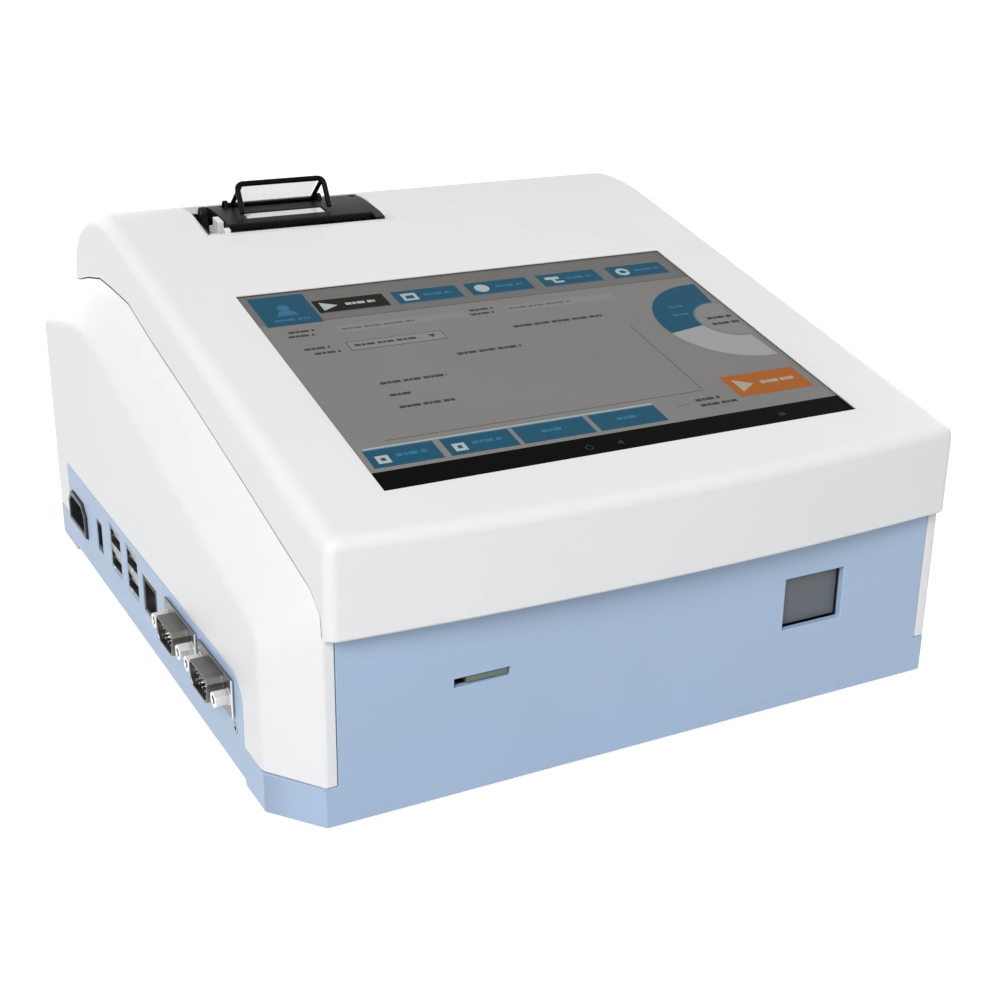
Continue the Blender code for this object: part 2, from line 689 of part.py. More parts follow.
def side_shell(name, side):
    """A white side panel: an open skin of ribbon, side wall and front strip, made into a sheet."""
    inner, outer = ribbon_lines()
    shape = bmesh.new()
    near = [shape.verts.new((side * FRONT_HALF_WIDTH, y, z)) for y, z in inner]
    far = [shape.verts.new((side * HALF_WIDTH, y, z)) for y, z in outer]
    sill = shape.verts.new((side * HALF_WIDTH, DEPTH, SHELL_BOTTOM))
    strip_x = side * (FRONT_HALF_WIDTH - FRONT_STRIP)
    strip = [shape.verts.new((strip_x, *inner[0])), shape.verts.new((strip_x, *inner[1]))]
    faces = [(near[i], far[i], far[i + 1], near[i + 1]) for i in range(len(near) - 1)]
    faces.append((far[0], sill, *reversed(far[1:])))
    faces.append((strip[0], near[0], near[1], strip[1]))
    for face in faces:
        shape.faces.new(face if side > 0 else tuple(reversed(face)))
    weight = shape.edges.layers.float.new("bevel_weight_edge")
    for start, end in zip(far, far[1:]):
        shape.edges.get((start, end))[weight] = 1
    piece = new_object(name, shape)
    round_edge = piece.modifiers.new("outer edge", "BEVEL")
    round_edge.limit_method = "WEIGHT"
    round_edge.width = SHELL_EDGE
    round_edge.segments = 2
    sheet(piece)
    x_in, x_out = HALF_WIDTH - WALL - BOSS_WIDTH, HALF_WIDTH - WALL / 2
    for number, start in enumerate((FRONT_BOSS, REAR_BOSS)):
        join(piece, block_between(f"{name}_boss_{number}", side, (x_in, start, SHELL_BOTTOM + GAP),
                                  (x_out, start + BOSS_DEPTH, BOSS_TOP)))
    middle = REAR_SCREW_HEIGHT - BOSS_HEIGHT / 2
    panel = DEPTH - WALL - GAP
    join(piece, block_between(f"{name}_rear_boss", side, (x_in, panel - BOSS_HEIGHT, middle),
                              (x_out, panel, middle + BOSS_HEIGHT)))
    for number, (x, y) in enumerate(case_screws()):
        if x * side > 0:
            cut(piece, rod(f"{name}_hole_{number}", SCREW_RADIUS + GAP, (x, y, 0),
                           (x, y, BOSS_TOP - WALL)))
    x = side * (HALF_WIDTH - SCREW_INSET)
    hole_end = panel - BOSS_HEIGHT + WALL / 2
    cut(piece, rod(f"{name}_rear_hole", SCREW_RADIUS + GAP, (x, hole_end, REAR_SCREW_HEIGHT),
                   (x, DEPTH, REAR_SCREW_HEIGHT)))
    if side < 0:
        cut(piece, plate("port_wall_notch", port_wall_line(GAP), "x", -HALF_WIDTH - OVERRUN,
                         -HALF_WIDTH + WALL + OVERRUN))
    finish(piece, "white_plastic")


def block_between(name, side, low, high):
    """A block given for the right side, and mirrored to the left one."""
    if side > 0:
        return box(name, low, high)
    return box(name, (-high[0], low[1], low[2]), (-low[0], high[1], high[2]))


def sheet(piece):
    """Gives an open skin the wall thickness of the housing, inwards."""
    walls = piece.modifiers.new("wall", "SOLIDIFY")
    walls.thickness = WALL
    walls.offset = -1
    walls.use_even_offset = True
    walls.use_quality_normals = True


def top_cover(screen):
    """The white cover: bowed lip, tilted face, crest and the two sides down to the ribbons."""
    shape = bmesh.new()
    columns = []
    for column in range(BOW_COLUMNS + 1):
        across = 2 * column / BOW_COLUMNS - 1
        line = cover_line(LIP_BOW * (1 - across ** 2))
        columns.append([shape.verts.new((across * FRONT_HALF_WIDTH, y, z)) for y, z in line])
    for left, right in zip(columns, columns[1:]):
        for j in range(len(left) - 1):
            shape.faces.new((left[j], right[j], right[j + 1], left[j + 1]))
    inner = ribbon_lines()[0][1:]
    hem = offset(inner, GAP, False)[1:-1]
    for side, column in ((-1, columns[0]), (1, columns[-1])):
        lower = [shape.verts.new((side * FRONT_HALF_WIDTH, y, z)) for y, z in reversed(hem)]
        face = (*column, *lower)
        shape.faces.new(face if side < 0 else tuple(reversed(face)))
    weight = shape.edges.layers.float.new("bevel_weight_edge")
    for column in (columns[0], columns[-1]):
        for j in range(1, len(column) - 1):
            shape.edges.get((column[j], column[j + 1]))[weight] = LIP_ROUND_SHARE if j == 1 else 1
    for left, right in zip(columns, columns[1:]):
        shape.edges.get((left[2], right[2]))[weight] = LIP_ROUND_SHARE
    piece = new_object("top_cover", shape)
    round_edge = piece.modifiers.new("rounded edges", "BEVEL")
    round_edge.limit_method = "WEIGHT"
    round_edge.width = COVER_ROUND
    round_edge.segments = 3
    sheet(piece)
    low = (-WINDOW_HALF_WIDTH, WINDOW_START)
    high = (WINDOW_HALF_WIDTH, WINDOW_START + WINDOW_LENGTH)
    hole = flared("screen_window", low, high, -WALL - OVERRUN, -WINDOW_BEVEL_DROP, 0, 4 * [WINDOW_BEVEL])
    edge = GLASS_MARGIN + GAP
    rebate = box("glass_rebate", (low[0] - edge, low[1] - edge, -WALL - OVERRUN),
                 (high[0] + edge, high[1] + edge, -GLASS_DROP + GAP))
    for tool in (hole, rebate):
        tool.parent = screen
    cut(piece, hole, rebate)
    cut(piece, *printer_opening(screen))
    finish(piece, "white_plastic")


def flared(name, low, high, bottom, knee, top, flares):
    """A rectangular cutter that is straight up to the knee and opens out above it, past the surface.

    The flares are how far it opens out to the left, ahead, to the right and behind.
    """
    shape = bmesh.new()
    rings = []
    past_top = 1 + OVERRUN / (top - knee)
    for height, spread in ((bottom, 0), (knee, 0), (top + OVERRUN, past_top)):
        left, ahead, right, behind = (spread * flare for flare in flares)
        corners = rectangle((low[0] - left, low[1] - ahead), (high[0] + right, high[1] + behind))
        rings.append([shape.verts.new((x, y, height)) for x, y in corners])
    shape.faces.new(tuple(reversed(rings[0])))
    shape.faces.new(rings[-1])
    for lower, upper in zip(rings, rings[1:]):
        for i in range(4):
            shape.faces.new((lower[i], lower[(i + 1) % 4], upper[(i + 1) % 4], upper[i]))
    return new_object(name, shape)


def printer_opening(screen):
    """Cutters for the opening over the printer: an upright hole and the bevel around its front and sides."""
    left, right = BUCKET_LEFT + OPENING_LEFT, BUCKET_RIGHT - OPENING_RIGHT
    front, rear = HINGE_Y - OPENING_FRONT, HINGE_Y + OPENING_REAR
    hole = box("printer_hole", (left, front, HINGE_Z - BUCKET_DEPTH), (right, rear, CREST + OVERRUN))
    along = math.cos(math.atan(SLOPE))
    low = (left, (front + LIP_DEPTH) / along)
    high = (right, (HINGE_Y + LIP_DEPTH) / along)
    knee = -OPENING_BEVEL_DROP
    flares = (OPENING_LEFT_BEVEL, OPENING_FRONT_BEVEL, OPENING_RIGHT_BEVEL, 0)
    bevel = flared("printer_bevel", low, high, knee - GAP, knee, 0, flares)
    bevel.parent = screen
    return hole, bevel


def curve_stops(start, end):
    """The places along y where the cover's line bends, between two others."""
    inside = [point[0] for point in cover_line(0)[3:] if start < point[0] < end]
    return [start, *inside, end]


def screen_parts(screen):
    """Touch glass under the cover's window, foam tape, display and the sheet-metal bracket behind it."""
    low = (-WINDOW_HALF_WIDTH, WINDOW_START)
    high = (WINDOW_HALF_WIDTH, WINDOW_START + WINDOW_LENGTH)

    def grown(margin):
        return (low[0] - margin, low[1] - margin), (high[0] + margin, high[1] + margin)

    glass_low, glass_high = grown(GLASS_MARGIN)
    glass_back = -GLASS_DROP - GLASS_THICKNESS
    glass = box("touch_glass", (*glass_low, glass_back), (*glass_high, -GLASS_DROP))
    finish(glass, "screen_glass")
    tape_front = glass_back - GAP
    display_low, display_high = grown(DISPLAY_MARGIN)
    tape_hole = rectangle(*grown(DISPLAY_MARGIN - TAPE_WIDTH))
    tape = plate("screen_gasket", rectangle(display_low, display_high), "z", tape_front - TAPE_THICKNESS,
                 tape_front, [tape_hole])
    finish(tape, "rubber")
    display_front = tape_front - TAPE_THICKNESS - GAP
    display_back = display_front - DISPLAY_THICKNESS
    display = box("lcd_module", (*display_low, display_back), (*display_high, display_front))
    finish(display, "black_plastic")
    outer_low, outer_high = grown(DISPLAY_MARGIN + GAP + BRACKET_SHEET)
    inner_low, inner_high = grown(DISPLAY_MARGIN + GAP)
    bracket_back = display_back - GAP - BRACKET_SHEET
    bracket = box("lcd_bracket", (*outer_low, bracket_back), (*outer_high, -WALL - GAP))
    recess = box("bracket_recess", (*inner_low, display_back - GAP), (*inner_high, 0))
    cut(bracket, recess)
    finish(bracket, "bracket_sheet")
    for piece in (glass, tape, display, bracket, recess):
        piece.parent = screen


def feet():
    """Four rubber feet, stuck to the floor's underside inside the skirt."""
    x = HALF_WIDTH - FOOT_INSET
    top = FLOOR_BOTTOM - GAP
    rear = DEPTH - FOOT_AHEAD
    for name, side, y in (("foot_front_left", -1, FOOT_FRONT), ("foot_front_right", 1, FOOT_FRONT),
                          ("foot_rear_left", -1, rear), ("foot_rear_right", 1, rear)):
        foot = rod(name, FOOT_RADIUS, (side * x, y, top - FOOT_HEIGHT), (side * x, y, top), 20)
        finish(foot, "rubber")


def screw(name, head_at, direction, length):
    """A pan head screw whose head starts at a point and whose shank runs along the direction."""
    head_at, direction = Vector(head_at), Vector(direction)
    head_end = head_at + direction * SCREW_HEAD
    piece = rod(name, SCREW_HEAD_RADIUS, head_at, head_end, 14)
    join(piece, rod(name + "_shank", SCREW_RADIUS, head_end - direction * SCREW_HEAD / 2,
                    head_end + direction * length, 10))
    finish(piece, "nickel")
    return piece


def screws():
    """Case screws from below, rear panel screws and the port wall's one small screw."""
    names = ("case_screw_front_left", "case_screw_rear_left",
             "case_screw_front_right", "case_screw_rear_right")
    for name, (x, y) in zip(names, case_screws()):
        screw(name, (x, y, FLOOR_BOTTOM - GAP - SCREW_HEAD), (0, 0, 1), SCREW_LENGTH)
    for name, side in (("rear_screw_left", -1), ("rear_screw_right", 1)):
        screw(name, (side * (HALF_WIDTH - SCREW_INSET), DEPTH, REAR_SCREW_HEIGHT), (0, -1, 0),
              REAR_SCREW_LENGTH)
    y, z = PORT_WALL_START + PORT_SCREW_BACK, PORT_SCREW_HEIGHT
    piece = rod("port_screw", SCREW_RADIUS, (-HALF_WIDTH, y, z), (-HALF_WIDTH + PORT_SCREW_LENGTH, y, z), 12)
    finish(piece, "nickel")


def rear_panel():
    """The white rear panel with its vents, its mains switch hole and its sunk screw holes."""
    inner, outer = ribbon_lines()
    x = HALF_WIDTH - WALL - GAP
    shoulder = outer[-1][1] - PANEL_SHOULDER
    neck = FRONT_HALF_WIDTH - WALL
    low, top = inner[-1][1] - WALL, inner[-1][1] - GAP
    line = [(-x, SHELL_BOTTOM), (x, SHELL_BOTTOM), (x, shoulder), (neck, low), (neck, top), (-neck, top),
            (-neck, low), (-x, shoulder)]
    vents = []
    for row in range(VENT_ROWS):
        bottom = VENT_BOTTOM + row * VENT_PITCH
        vents.append(rectangle((VENT_X - VENT_LENGTH / 2, bottom),
                               (VENT_X + VENT_LENGTH / 2, bottom + VENT_HEIGHT)))
    half, rise = SWITCH_WIDTH / 2 + GAP, SWITCH_HEIGHT / 2 + GAP
    vents.append(rectangle((SWITCH_X - half, SWITCH_Z - rise), (SWITCH_X + half, SWITCH_Z + rise)))
    piece = plate("rear_panel", line, "y", DEPTH - WALL, DEPTH, vents)
    for side in (-1, 1):
        at = Vector((side * (HALF_WIDTH - SCREW_INSET), DEPTH, REAR_SCREW_HEIGHT))
        sink = Vector((0, SCREW_HEAD + GAP, 0))
        through = Vector((0, WALL + OVERRUN, 0))
        past = Vector((0, OVERRUN, 0))
        cut(piece, rod(f"rear_sink_{side}", SCREW_HEAD_RADIUS + GAP, at - sink, at + past),
            rod(f"rear_hole_{side}", SCREW_RADIUS + GAP, at - through, at + past))
    finish(piece, "white_plastic")


def power_switch():
    """The mains switch: a snap-in body with a rocker that tips on two small pins."""
    half, rise = SWITCH_WIDTH / 2, SWITCH_HEIGHT / 2
    low = (SWITCH_X - half, DEPTH - SWITCH_DEPTH, SWITCH_Z - rise)
    high = (SWITCH_X + half, DEPTH, SWITCH_Z + rise)
    body = box("power_switch_body", low, high)
    wall = SWITCH_WALL
    well = ROCKER_HINGE + ROCKER_DEPTH
    cut(body, box("rocker_well", (low[0] + wall, DEPTH - well, low[2] + wall),
                  (high[0] - wall, DEPTH + OVERRUN, high[2] - wall)))
    pivot = Vector((SWITCH_X, DEPTH - ROCKER_HINGE, SWITCH_Z))
    reach = Vector((half - wall / 2, 0, 0))
    cut(body, rod("rocker_pin_hole", ROCKER_PIN + GAP, pivot - reach, pivot + reach, 12))
    finish(body, "black_plastic")
    width = half - wall - GAP
    top = rise - wall - 2 * GAP
    face = ROCKER_FACE
    outline = [(-face / 2, -top / 2), (0, -top), (face, -top + GAP), (face / 2, 0), (face, top - GAP),
               (0, top), (-face / 2, top / 2)]
    rocker = plate("power_rocker", outline, "x", -width, width)
    pin = Vector((half - wall / 2 - GAP, 0, 0))
    rocker_pin = rod("rocker_pin", ROCKER_PIN, -pin, pin, 12)
    join(rocker, rocker_pin)
    hinge = bpy.data.objects.new("rocker_hinge", None)
    parts.objects.link(hinge)
    hinge.location = pivot
    hinge.rotation_euler = (ROCKER_TILT, 0, 0)
    hinge.parent = case
    rocker.parent = hinge
    rocker_pin.parent = hinge
    finish(rocker, "black_plastic")


def printer_places():
    """Centres, as y and z, of the platen, the idler, the motor and the paper roll."""
    platen = Vector((HINGE_Y - PLATEN_AHEAD, HINGE_Z - PLATEN_BELOW))
    reach = GEAR_MODULE * (PLATEN_TEETH + IDLER_TEETH) / 2
    idler = platen + reach * Vector((math.cos(IDLER_ANGLE), math.sin(IDLER_ANGLE)))
    reach = GEAR_MODULE * (MOTOR_TEETH + IDLER_TEETH) / 2
    motor = idler + reach * Vector((math.cos(MOTOR_ANGLE), math.sin(MOTOR_ANGLE)))
    roll = Vector((HINGE_Y - ROLL_AHEAD, bucket_floor() + GAP + ROLL_RADIUS))
    return platen, idler, motor, roll


def bucket_floor():
    """Top of the printer bucket's floor, which the roll lies on."""
    return HINGE_Z - BUCKET_DEPTH + BUCKET_WALL


def printer_frame():
    """The dark bucket with hinge ears, the idler's pin and the motor's hole."""
    idler, motor = printer_places()[1:3]
    front, rear = HINGE_Y - BUCKET_FRONT, HINGE_Y + BUCKET_REAR
    bottom = bucket_floor() - BUCKET_WALL
    rim = cover_height(HINGE_Y - OPENING_FRONT) - BUCKET_DROP
    piece = box("printer_frame", (BUCKET_LEFT, front, bottom), (BUCKET_RIGHT, rear, rim))
    wall = BUCKET_WALL
    cut(piece, box("bucket_inside", (BUCKET_LEFT + wall, front + wall, bottom + wall),
                   (BUCKET_RIGHT - wall, rear - wall, rim + OVERRUN)))
    left_ear, right_ear = hinge_ears()
    line = [(HINGE_Y - EAR_HALF_DEPTH, bottom + wall / 2), (HINGE_Y + EAR_HALF_DEPTH, bottom + wall / 2),
            *arc((HINGE_Y, HINGE_Z), BARREL_RADIUS, 0, math.pi, 8)]
    join(piece, plate("left_ear", line, "x", *left_ear), plate("right_ear", line, "x", *right_ear))
    join(piece, box("ear_web", (right_ear[1] - GAP, HINGE_Y - EAR_HALF_DEPTH, bottom + wall / 2),
                    (BUCKET_RIGHT - wall / 2, HINGE_Y + EAR_HALF_DEPTH, rim - GAP)))
    lip_left = BUCKET_LEFT + wall - RIM_LIP
    start, end = HINGE_Y - OPENING_FRONT + GAP, HINGE_Y - EAR_HALF_DEPTH
    top = [(y, cover_height(y) - RIM_DROP) for y in curve_stops(start, end)]
    join(piece, plate("rim_lip", [(end, rim - wall), (start, rim - wall), *top], "x", lip_left,
                      BUCKET_LEFT + wall))
    deck_left, deck_right = DOOR_X + DOOR_HALF_WIDTH + GAP, BUCKET_RIGHT - OPENING_RIGHT - GAP
    stop = HINGE_Y - BARREL_RADIUS - GAP
    top = [(y, cover_height(y) - GAP) for y in curve_stops(start, stop)]
    under = [(y, z - DECK_SHEET) for y, z in reversed(top)]
    join(piece, plate("right_deck", top + under, "x", deck_left, deck_right))
    within = [(y, cover_height(y) - DECK_SHEET) for y in curve_stops(start + GAP, stop - GAP)]
    join(piece, plate("deck_wall", [(stop - GAP, rim - wall / 2), (start + GAP, rim - wall / 2), *within], "x",
                      right_ear[0] + GAP / 2, deck_right - GAP / 2))
    join(piece, box("deck_shelf", (right_ear[0] + GAP, start + 2 * GAP, rim - wall),
                    (BUCKET_RIGHT - wall / 2, end - GAP, rim - GAP)))
    cut(piece, rod("hinge_bore", HINGE_ROD + GAP, (BUCKET_LEFT + 2 * wall, HINGE_Y, HINGE_Z),
                   (BUCKET_RIGHT - wall - GAP, HINGE_Y, HINGE_Z), 12))
    gear_left = DOOR_X - DOOR_HALF_WIDTH - GEAR_OUT - GEAR_WIDTH
    join(piece, rod("idler_pin", IDLER_PIN, (BUCKET_LEFT + wall / 2, *idler),
                    (gear_left + GEAR_WIDTH, *idler), 12))
    cut(piece, rod("motor_shaft_hole", MOTOR_SHAFT + GAP, (BUCKET_LEFT - OVERRUN, *motor),
                   (BUCKET_LEFT + wall + GAP, *motor), 12))
    finish(piece, "black_plastic")


def hinge_ears():
    """Left and right face of each ear: one beside the lid, one past the end of the paper roll."""
    left = DOOR_X - DOOR_HALF_WIDTH - GAP
    right = DOOR_X + DOOR_HALF_WIDTH + ROLL_END + GAP
    return (left - EAR_WIDTH, left), (right, right + RIGHT_EAR_WIDTH)


def printer_door():
    """The lid: a curved plate, a barrel, two cheeks for the platen, two bail lugs and a milky window pane."""
    platen = printer_places()[0]
    front = HINGE_Y - DOOR_FRONT
    left, right = DOOR_X - DOOR_HALF_WIDTH, DOOR_X + DOOR_HALF_WIDTH
    top = [(y, cover_height(y)) for y in curve_stops(front, HINGE_Y)]
    under = [(y, z - DOOR_PLATE) for y, z in reversed(top[:-1])]
    low, high = (DOOR_X + share * DOOR_HALF_WIDTH for share in DOOR_WINDOW_SHARES)
    piece = plate("printer_door", top + [(HINGE_Y, HINGE_Z)] + under, "x", left, right)
    cut(piece, box("door_window", (low, HINGE_Y - DOOR_WINDOW_AHEAD[0], HINGE_Z - OVERRUN),
                   (high, HINGE_Y - DOOR_WINDOW_AHEAD[1], CREST + OVERRUN)))
    join(piece, rod("door_barrel", BARREL_RADIUS, (left, HINGE_Y, HINGE_Z),
                    (right + ROLL_END, HINGE_Y, HINGE_Z)))
    foot = platen.y - CHEEK_DROP
    cheek_top = top[0][1] - DOOR_PLATE / 2
    cheek = [(front, foot), (platen.x + CHEEK_REACH, foot), (platen.x + 2 * CHEEK_REACH, cheek_top),
             (front, cheek_top)]
    hole = [circle(platen, PLATEN_SHAFT + GAP, 12)]
    for number, x in enumerate((left, right - CHEEK)):
        join(piece, plate(f"cheek_{number}", cheek, "x", x, x + CHEEK, hole))
    bail = bail_hinge()
    for number, x in enumerate((BAIL_X - BAIL_HALF_WIDTH - LUG_OUT - LUG_WIDTH / 2,
                                BAIL_X + BAIL_HALF_WIDTH + LUG_OUT - LUG_WIDTH / 2)):
        lug = [(bail.x - LUG_HALF_DEPTH, bail.y - DOOR_PLATE), (bail.x + LUG_HALF_DEPTH, bail.y - DOOR_PLATE),
               *arc(bail, LUG_HALF_DEPTH, 0, math.pi, 8)]
        join(piece, plate(f"bail_lug_{number}", lug, "x", x, x + LUG_WIDTH))
    reach = BAIL_HALF_WIDTH + LUG_OUT + LUG_WIDTH
    cut(piece, rod("bail_groove", BAIL_WIRE + GAP, (BAIL_X - reach, *bail), (BAIL_X + reach, *bail)))
    cut(piece, rod("door_bore", HINGE_ROD + GAP, (left - OVERRUN, HINGE_Y, HINGE_Z),
                   (right + ROLL_END + OVERRUN, HINGE_Y, HINGE_Z), 12))
    hang(piece, (0, HINGE_Y, HINGE_Z))
    finish(piece, "black_plastic")
    front, rear = (HINGE_Y - ahead for ahead in DOOR_WINDOW_AHEAD)
    top = [(y, cover_height(y) - PANE_DROP) for y in curve_stops(front + GAP, rear - GAP)]
    under = [(y, z - PANE_THICKNESS) for y, z in reversed(top)]
    pane = plate("door_pane", top + under, "x", low + GAP, high - GAP)
    finish(hang(pane, (0, HINGE_Y, HINGE_Z)), "natural_nylon")
    left_ear, right_ear = hinge_ears()
    pin = rod("door_hinge_rod", HINGE_ROD, (left_ear[0] + GAP, HINGE_Y, HINGE_Z),
              (right_ear[1] - GAP, HINGE_Y, HINGE_Z), 12)
    finish(pin, "steel")


def bail_hinge():
    """The bail's hinge line on the lid, as y and z."""
    y = HINGE_Y - BAIL_HINGE_AHEAD
    return Vector((y, cover_height(y) + BAIL_HINGE_UP))


def door_bail():
    """The wire bail: a front hoop, two rear legs, a bar in the lid's lugs and a clear pane behind."""
    hinge = bail_hinge()
    left, right = BAIL_X - BAIL_HALF_WIDTH, BAIL_X + BAIL_HALF_WIDTH
    top = hinge + Vector((-BAIL_TOP_AHEAD, BAIL_TOP_UP))
    foot_y = hinge.x - BAIL_FOOT_AHEAD
    foot = Vector((foot_y, cover_height(foot_y) + BAIL_WIRE + GAP))
    down = (foot - top).normalized() * BAIL_CORNER
    bend = [(left, *(top + down)), (left + BAIL_CORNER / 3, *(top + down / 3)), (left + BAIL_CORNER, *top)]
    mirrored = [(2 * BAIL_X - x, y, z) for x, y, z in reversed(bend)]
    piece = wire("door_bail", [(left, *foot), *bend, *mirrored, (right, *foot)], BAIL_WIRE)
    reach = BAIL_HALF_WIDTH + LUG_OUT
    join(piece, wire("bail_bar", [(BAIL_X - reach, *hinge), (BAIL_X + reach, *hinge)], BAIL_WIRE))
    for number, (x, inward) in enumerate(((left, 1), (right, -1))):
        leg_x = x + inward * BAIL_CORNER / 2
        join(piece, wire(f"bail_leg_{number}", [(leg_x, *(top + down / 2)), (leg_x, *hinge)], BAIL_LEG_WIRE))
    hang(piece, (0, *hinge))
    finish(piece, "black_wire")
    slant = (hinge - top).normalized()
    thick = Vector((-slant.y, slant.x)) * BAIL_PANE / 2
    high, low = top + slant * (BAIL_WIRE + GAP), hinge - slant * (BAIL_WIRE + GAP)
    inset = BAIL_CORNER / 2 + BAIL_LEG_WIRE + GAP
    pane = plate("bail_pane", [low - thick, high - thick, high + thick, low + thick], "x", left + inset,
                 right - inset)
    finish(hang(pane, (0, *hinge)), "natural_nylon")


def gear_line(teeth, turn):
    """Outline of a spur gear about its own centre, with four points on each flank."""
    pitch = GEAR_MODULE * teeth / 2
    base = pitch * math.cos(GEAR_PRESSURE)
    half = math.pi / (2 * teeth) - GEAR_BACKLASH / (2 * pitch) + math.tan(GEAR_PRESSURE) - GEAR_PRESSURE
    flank = []
    root = pitch - GEAR_DEDENDUM
    for radius in (root, max(root, base), pitch, pitch + GEAR_ADDENDUM):
        slip = math.acos(min(1, base / radius))
        flank.append((radius, half - math.tan(slip) + slip))
    if flank[0][0] == flank[1][0]:
        flank.pop(0)
    line = []
    for tooth in range(teeth):
        middle = turn + 2 * math.pi * tooth / teeth
        for radius, angle in flank:
            line.append((radius * math.cos(middle - angle), radius * math.sin(middle - angle)))
        for radius, angle in reversed(flank):
            line.append((radius * math.cos(middle + angle), radius * math.sin(middle + angle)))
    return line


def mate_turn(turn, teeth, mate_teeth, angle):
    """Turn of a gear that meshes with one that lies the other way along the angle."""
    phase = (angle - turn) * teeth / (2 * math.pi)
    return angle + math.pi - (0.5 - phase) * 2 * math.pi / mate_teeth


def gear(name, teeth, turn, x, centre, width, bore):
    """A spur gear on the x axis, with its origin on its own centre."""
    holes = [circle((0, 0), bore, 12)] if bore else []
    piece = plate(name, gear_line(teeth, turn), "x", 0, width, holes)
    piece.location += Vector((x, *centre))
    hang(piece, (x, *centre))
    return piece


def paper_drive():
    """Platen, gear train, motor, print head, tear bar, the slotted side plate and the paper roll."""
    platen, idler, motor, roll = printer_places()
    left, right = DOOR_X - DOOR_HALF_WIDTH, DOOR_X + DOOR_HALF_WIDTH
    gear_left = left - GEAR_OUT - GEAR_WIDTH
    shaft = rod("platen_shaft", PLATEN_SHAFT, (gear_left - GAP, *platen), (right, *platen), 12)
    finish(hang(shaft, (0, *platen)), "steel")
    low, high = left + CHEEK + PLATEN_END, right - CHEEK - PLATEN_END
    sleeve = plate("platen_roller", circle(platen, PLATEN_RADIUS, 20), "x", low, high,
                   [circle(platen, PLATEN_SHAFT + GAP, 12)])
    finish(hang(sleeve, (0, *platen)), "rubber")
    wheel = gear("platen_gear", PLATEN_TEETH, 0, gear_left, platen, GEAR_WIDTH, PLATEN_SHAFT + GAP)
    finish(wheel, "natural_nylon")
    turn = mate_turn(0, PLATEN_TEETH, IDLER_TEETH, IDLER_ANGLE)
    wheel = gear("idler_gear", IDLER_TEETH, turn, gear_left, idler, GEAR_WIDTH, IDLER_PIN + GAP)
    finish(wheel, "natural_nylon")
    turn = mate_turn(turn, IDLER_TEETH, MOTOR_TEETH, MOTOR_ANGLE)
    pinion = gear("motor_pinion", MOTOR_TEETH, turn, gear_left, motor, GEAR_WIDTH, 0)
    body_right = BUCKET_LEFT - GAP
    spindle = rod("pinion_spindle", MOTOR_SHAFT, (body_right - MOTOR_GRIP, *motor),
                  (gear_left + GEAR_WIDTH / 2, *motor), 10)
    finish(join(pinion, spindle), "natural_nylon")
    body = rod("printer_motor", PRINTER_MOTOR_RADIUS, (body_right - PRINTER_MOTOR_LENGTH, *motor),
               (body_right, *motor), 24)
    cut(body, rod("spindle_hole", MOTOR_SHAFT + GAP, (body_right - MOTOR_GRIP - GAP, *motor),
                  (body_right + OVERRUN, *motor), 12))
    finish(body, "steel")
    head_back = platen.x - PLATEN_RADIUS - GAP
    head_top = platen.y - HEAD_DROP
    head = box("print_head", (low, head_back - HEAD_THICKNESS, head_top - HEAD_HEIGHT),
               (high, head_back, head_top))
    finish(head, "grey_plastic")
    bar_front = HINGE_Y - OPENING_FRONT + GAP
    bottom, top = head_top + GAP, cover_height(bar_front) - TEAR_DROP
    line = [(left, bottom), (right, bottom)]
    for step in range(TEAR_TEETH * 2 + 1):
        x = right - (right - left) * step / (2 * TEAR_TEETH)
        line.append((x, top if step % 2 else top - TEAR_TOOTH))
    finish(plate("tear_bar", line, "y", bar_front, bar_front + TEAR_THICKNESS), "steel")
    start, end = bar_front, HINGE_Y - GEAR_PLATE_BEHIND
    top = [(y, cover_height(y) - GEAR_PLATE_DROP) for y in curve_stops(start, end)]
    floor = bucket_floor() + GAP
    side = plate("gear_plate", [(end, floor), (start, floor), *top], "x", left - GEAR_OUT + GAP, left - GAP)
    half = PLATEN_SHAFT + SLOT_ROOM
    slot = [*arc(platen, half, math.pi, 2 * math.pi, 8), (platen.x + half, CREST),
            (platen.x - half - SLOT_LEAN, CREST)]
    cut(side, plate("platen_slot", slot, "x", left - GEAR_OUT, left))
    finish(side, "white_plastic")
    roll_left = right + ROLL_END - ROLL_WIDTH
    paper = plate("paper_roll", circle(roll, ROLL_RADIUS, 32), "x", roll_left, roll_left + ROLL_WIDTH,
                  [circle(roll, ROLL_CORE, 16)])
    finish(hang(paper, (0, *roll)), "paper")


def bay_places():
    """Low z of the tray's body, height of the rack's pitch line and the pinion's centre as y and z."""
    body = BAY_BOTTOM + TRAY_LIFT
    pitch_line = body - GAP - GEAR_DEDENDUM
    pinion = Vector((PINION_BACK, pitch_line - GEAR_MODULE * TRAY_PINION_TEETH / 2))
    return body, pitch_line, pinion


def rack_line(pitch_line, pinion_y, back, first, last):
    """Outline of the rack under the tray, with a gap over the pinion's upright tooth."""
    pitch = math.pi * GEAR_MODULE
    lean = math.tan(GEAR_PRESSURE)
    half = pitch / 4 - GEAR_BACKLASH / 2
    tip, root = half - GEAR_ADDENDUM * lean, half + GEAR_DEDENDUM * lean
    line = [(last, back), (first, back), (first, pitch_line + GEAR_DEDENDUM)]
    middle = pinion_y - pitch / 2
    while middle - root > first:
        middle -= pitch
    middle += pitch
    while middle + root < last:
        line += [(middle - root, pitch_line + GEAR_DEDENDUM), (middle - tip, pitch_line - GEAR_ADDENDUM),
                 (middle + tip, pitch_line - GEAR_ADDENDUM), (middle + root, pitch_line + GEAR_DEDENDUM),
                 (middle + pitch / 2, pitch_line + GEAR_DEDENDUM + GAP / 2)]
        middle += pitch
    return line + [(last, pitch_line + GEAR_DEDENDUM)]


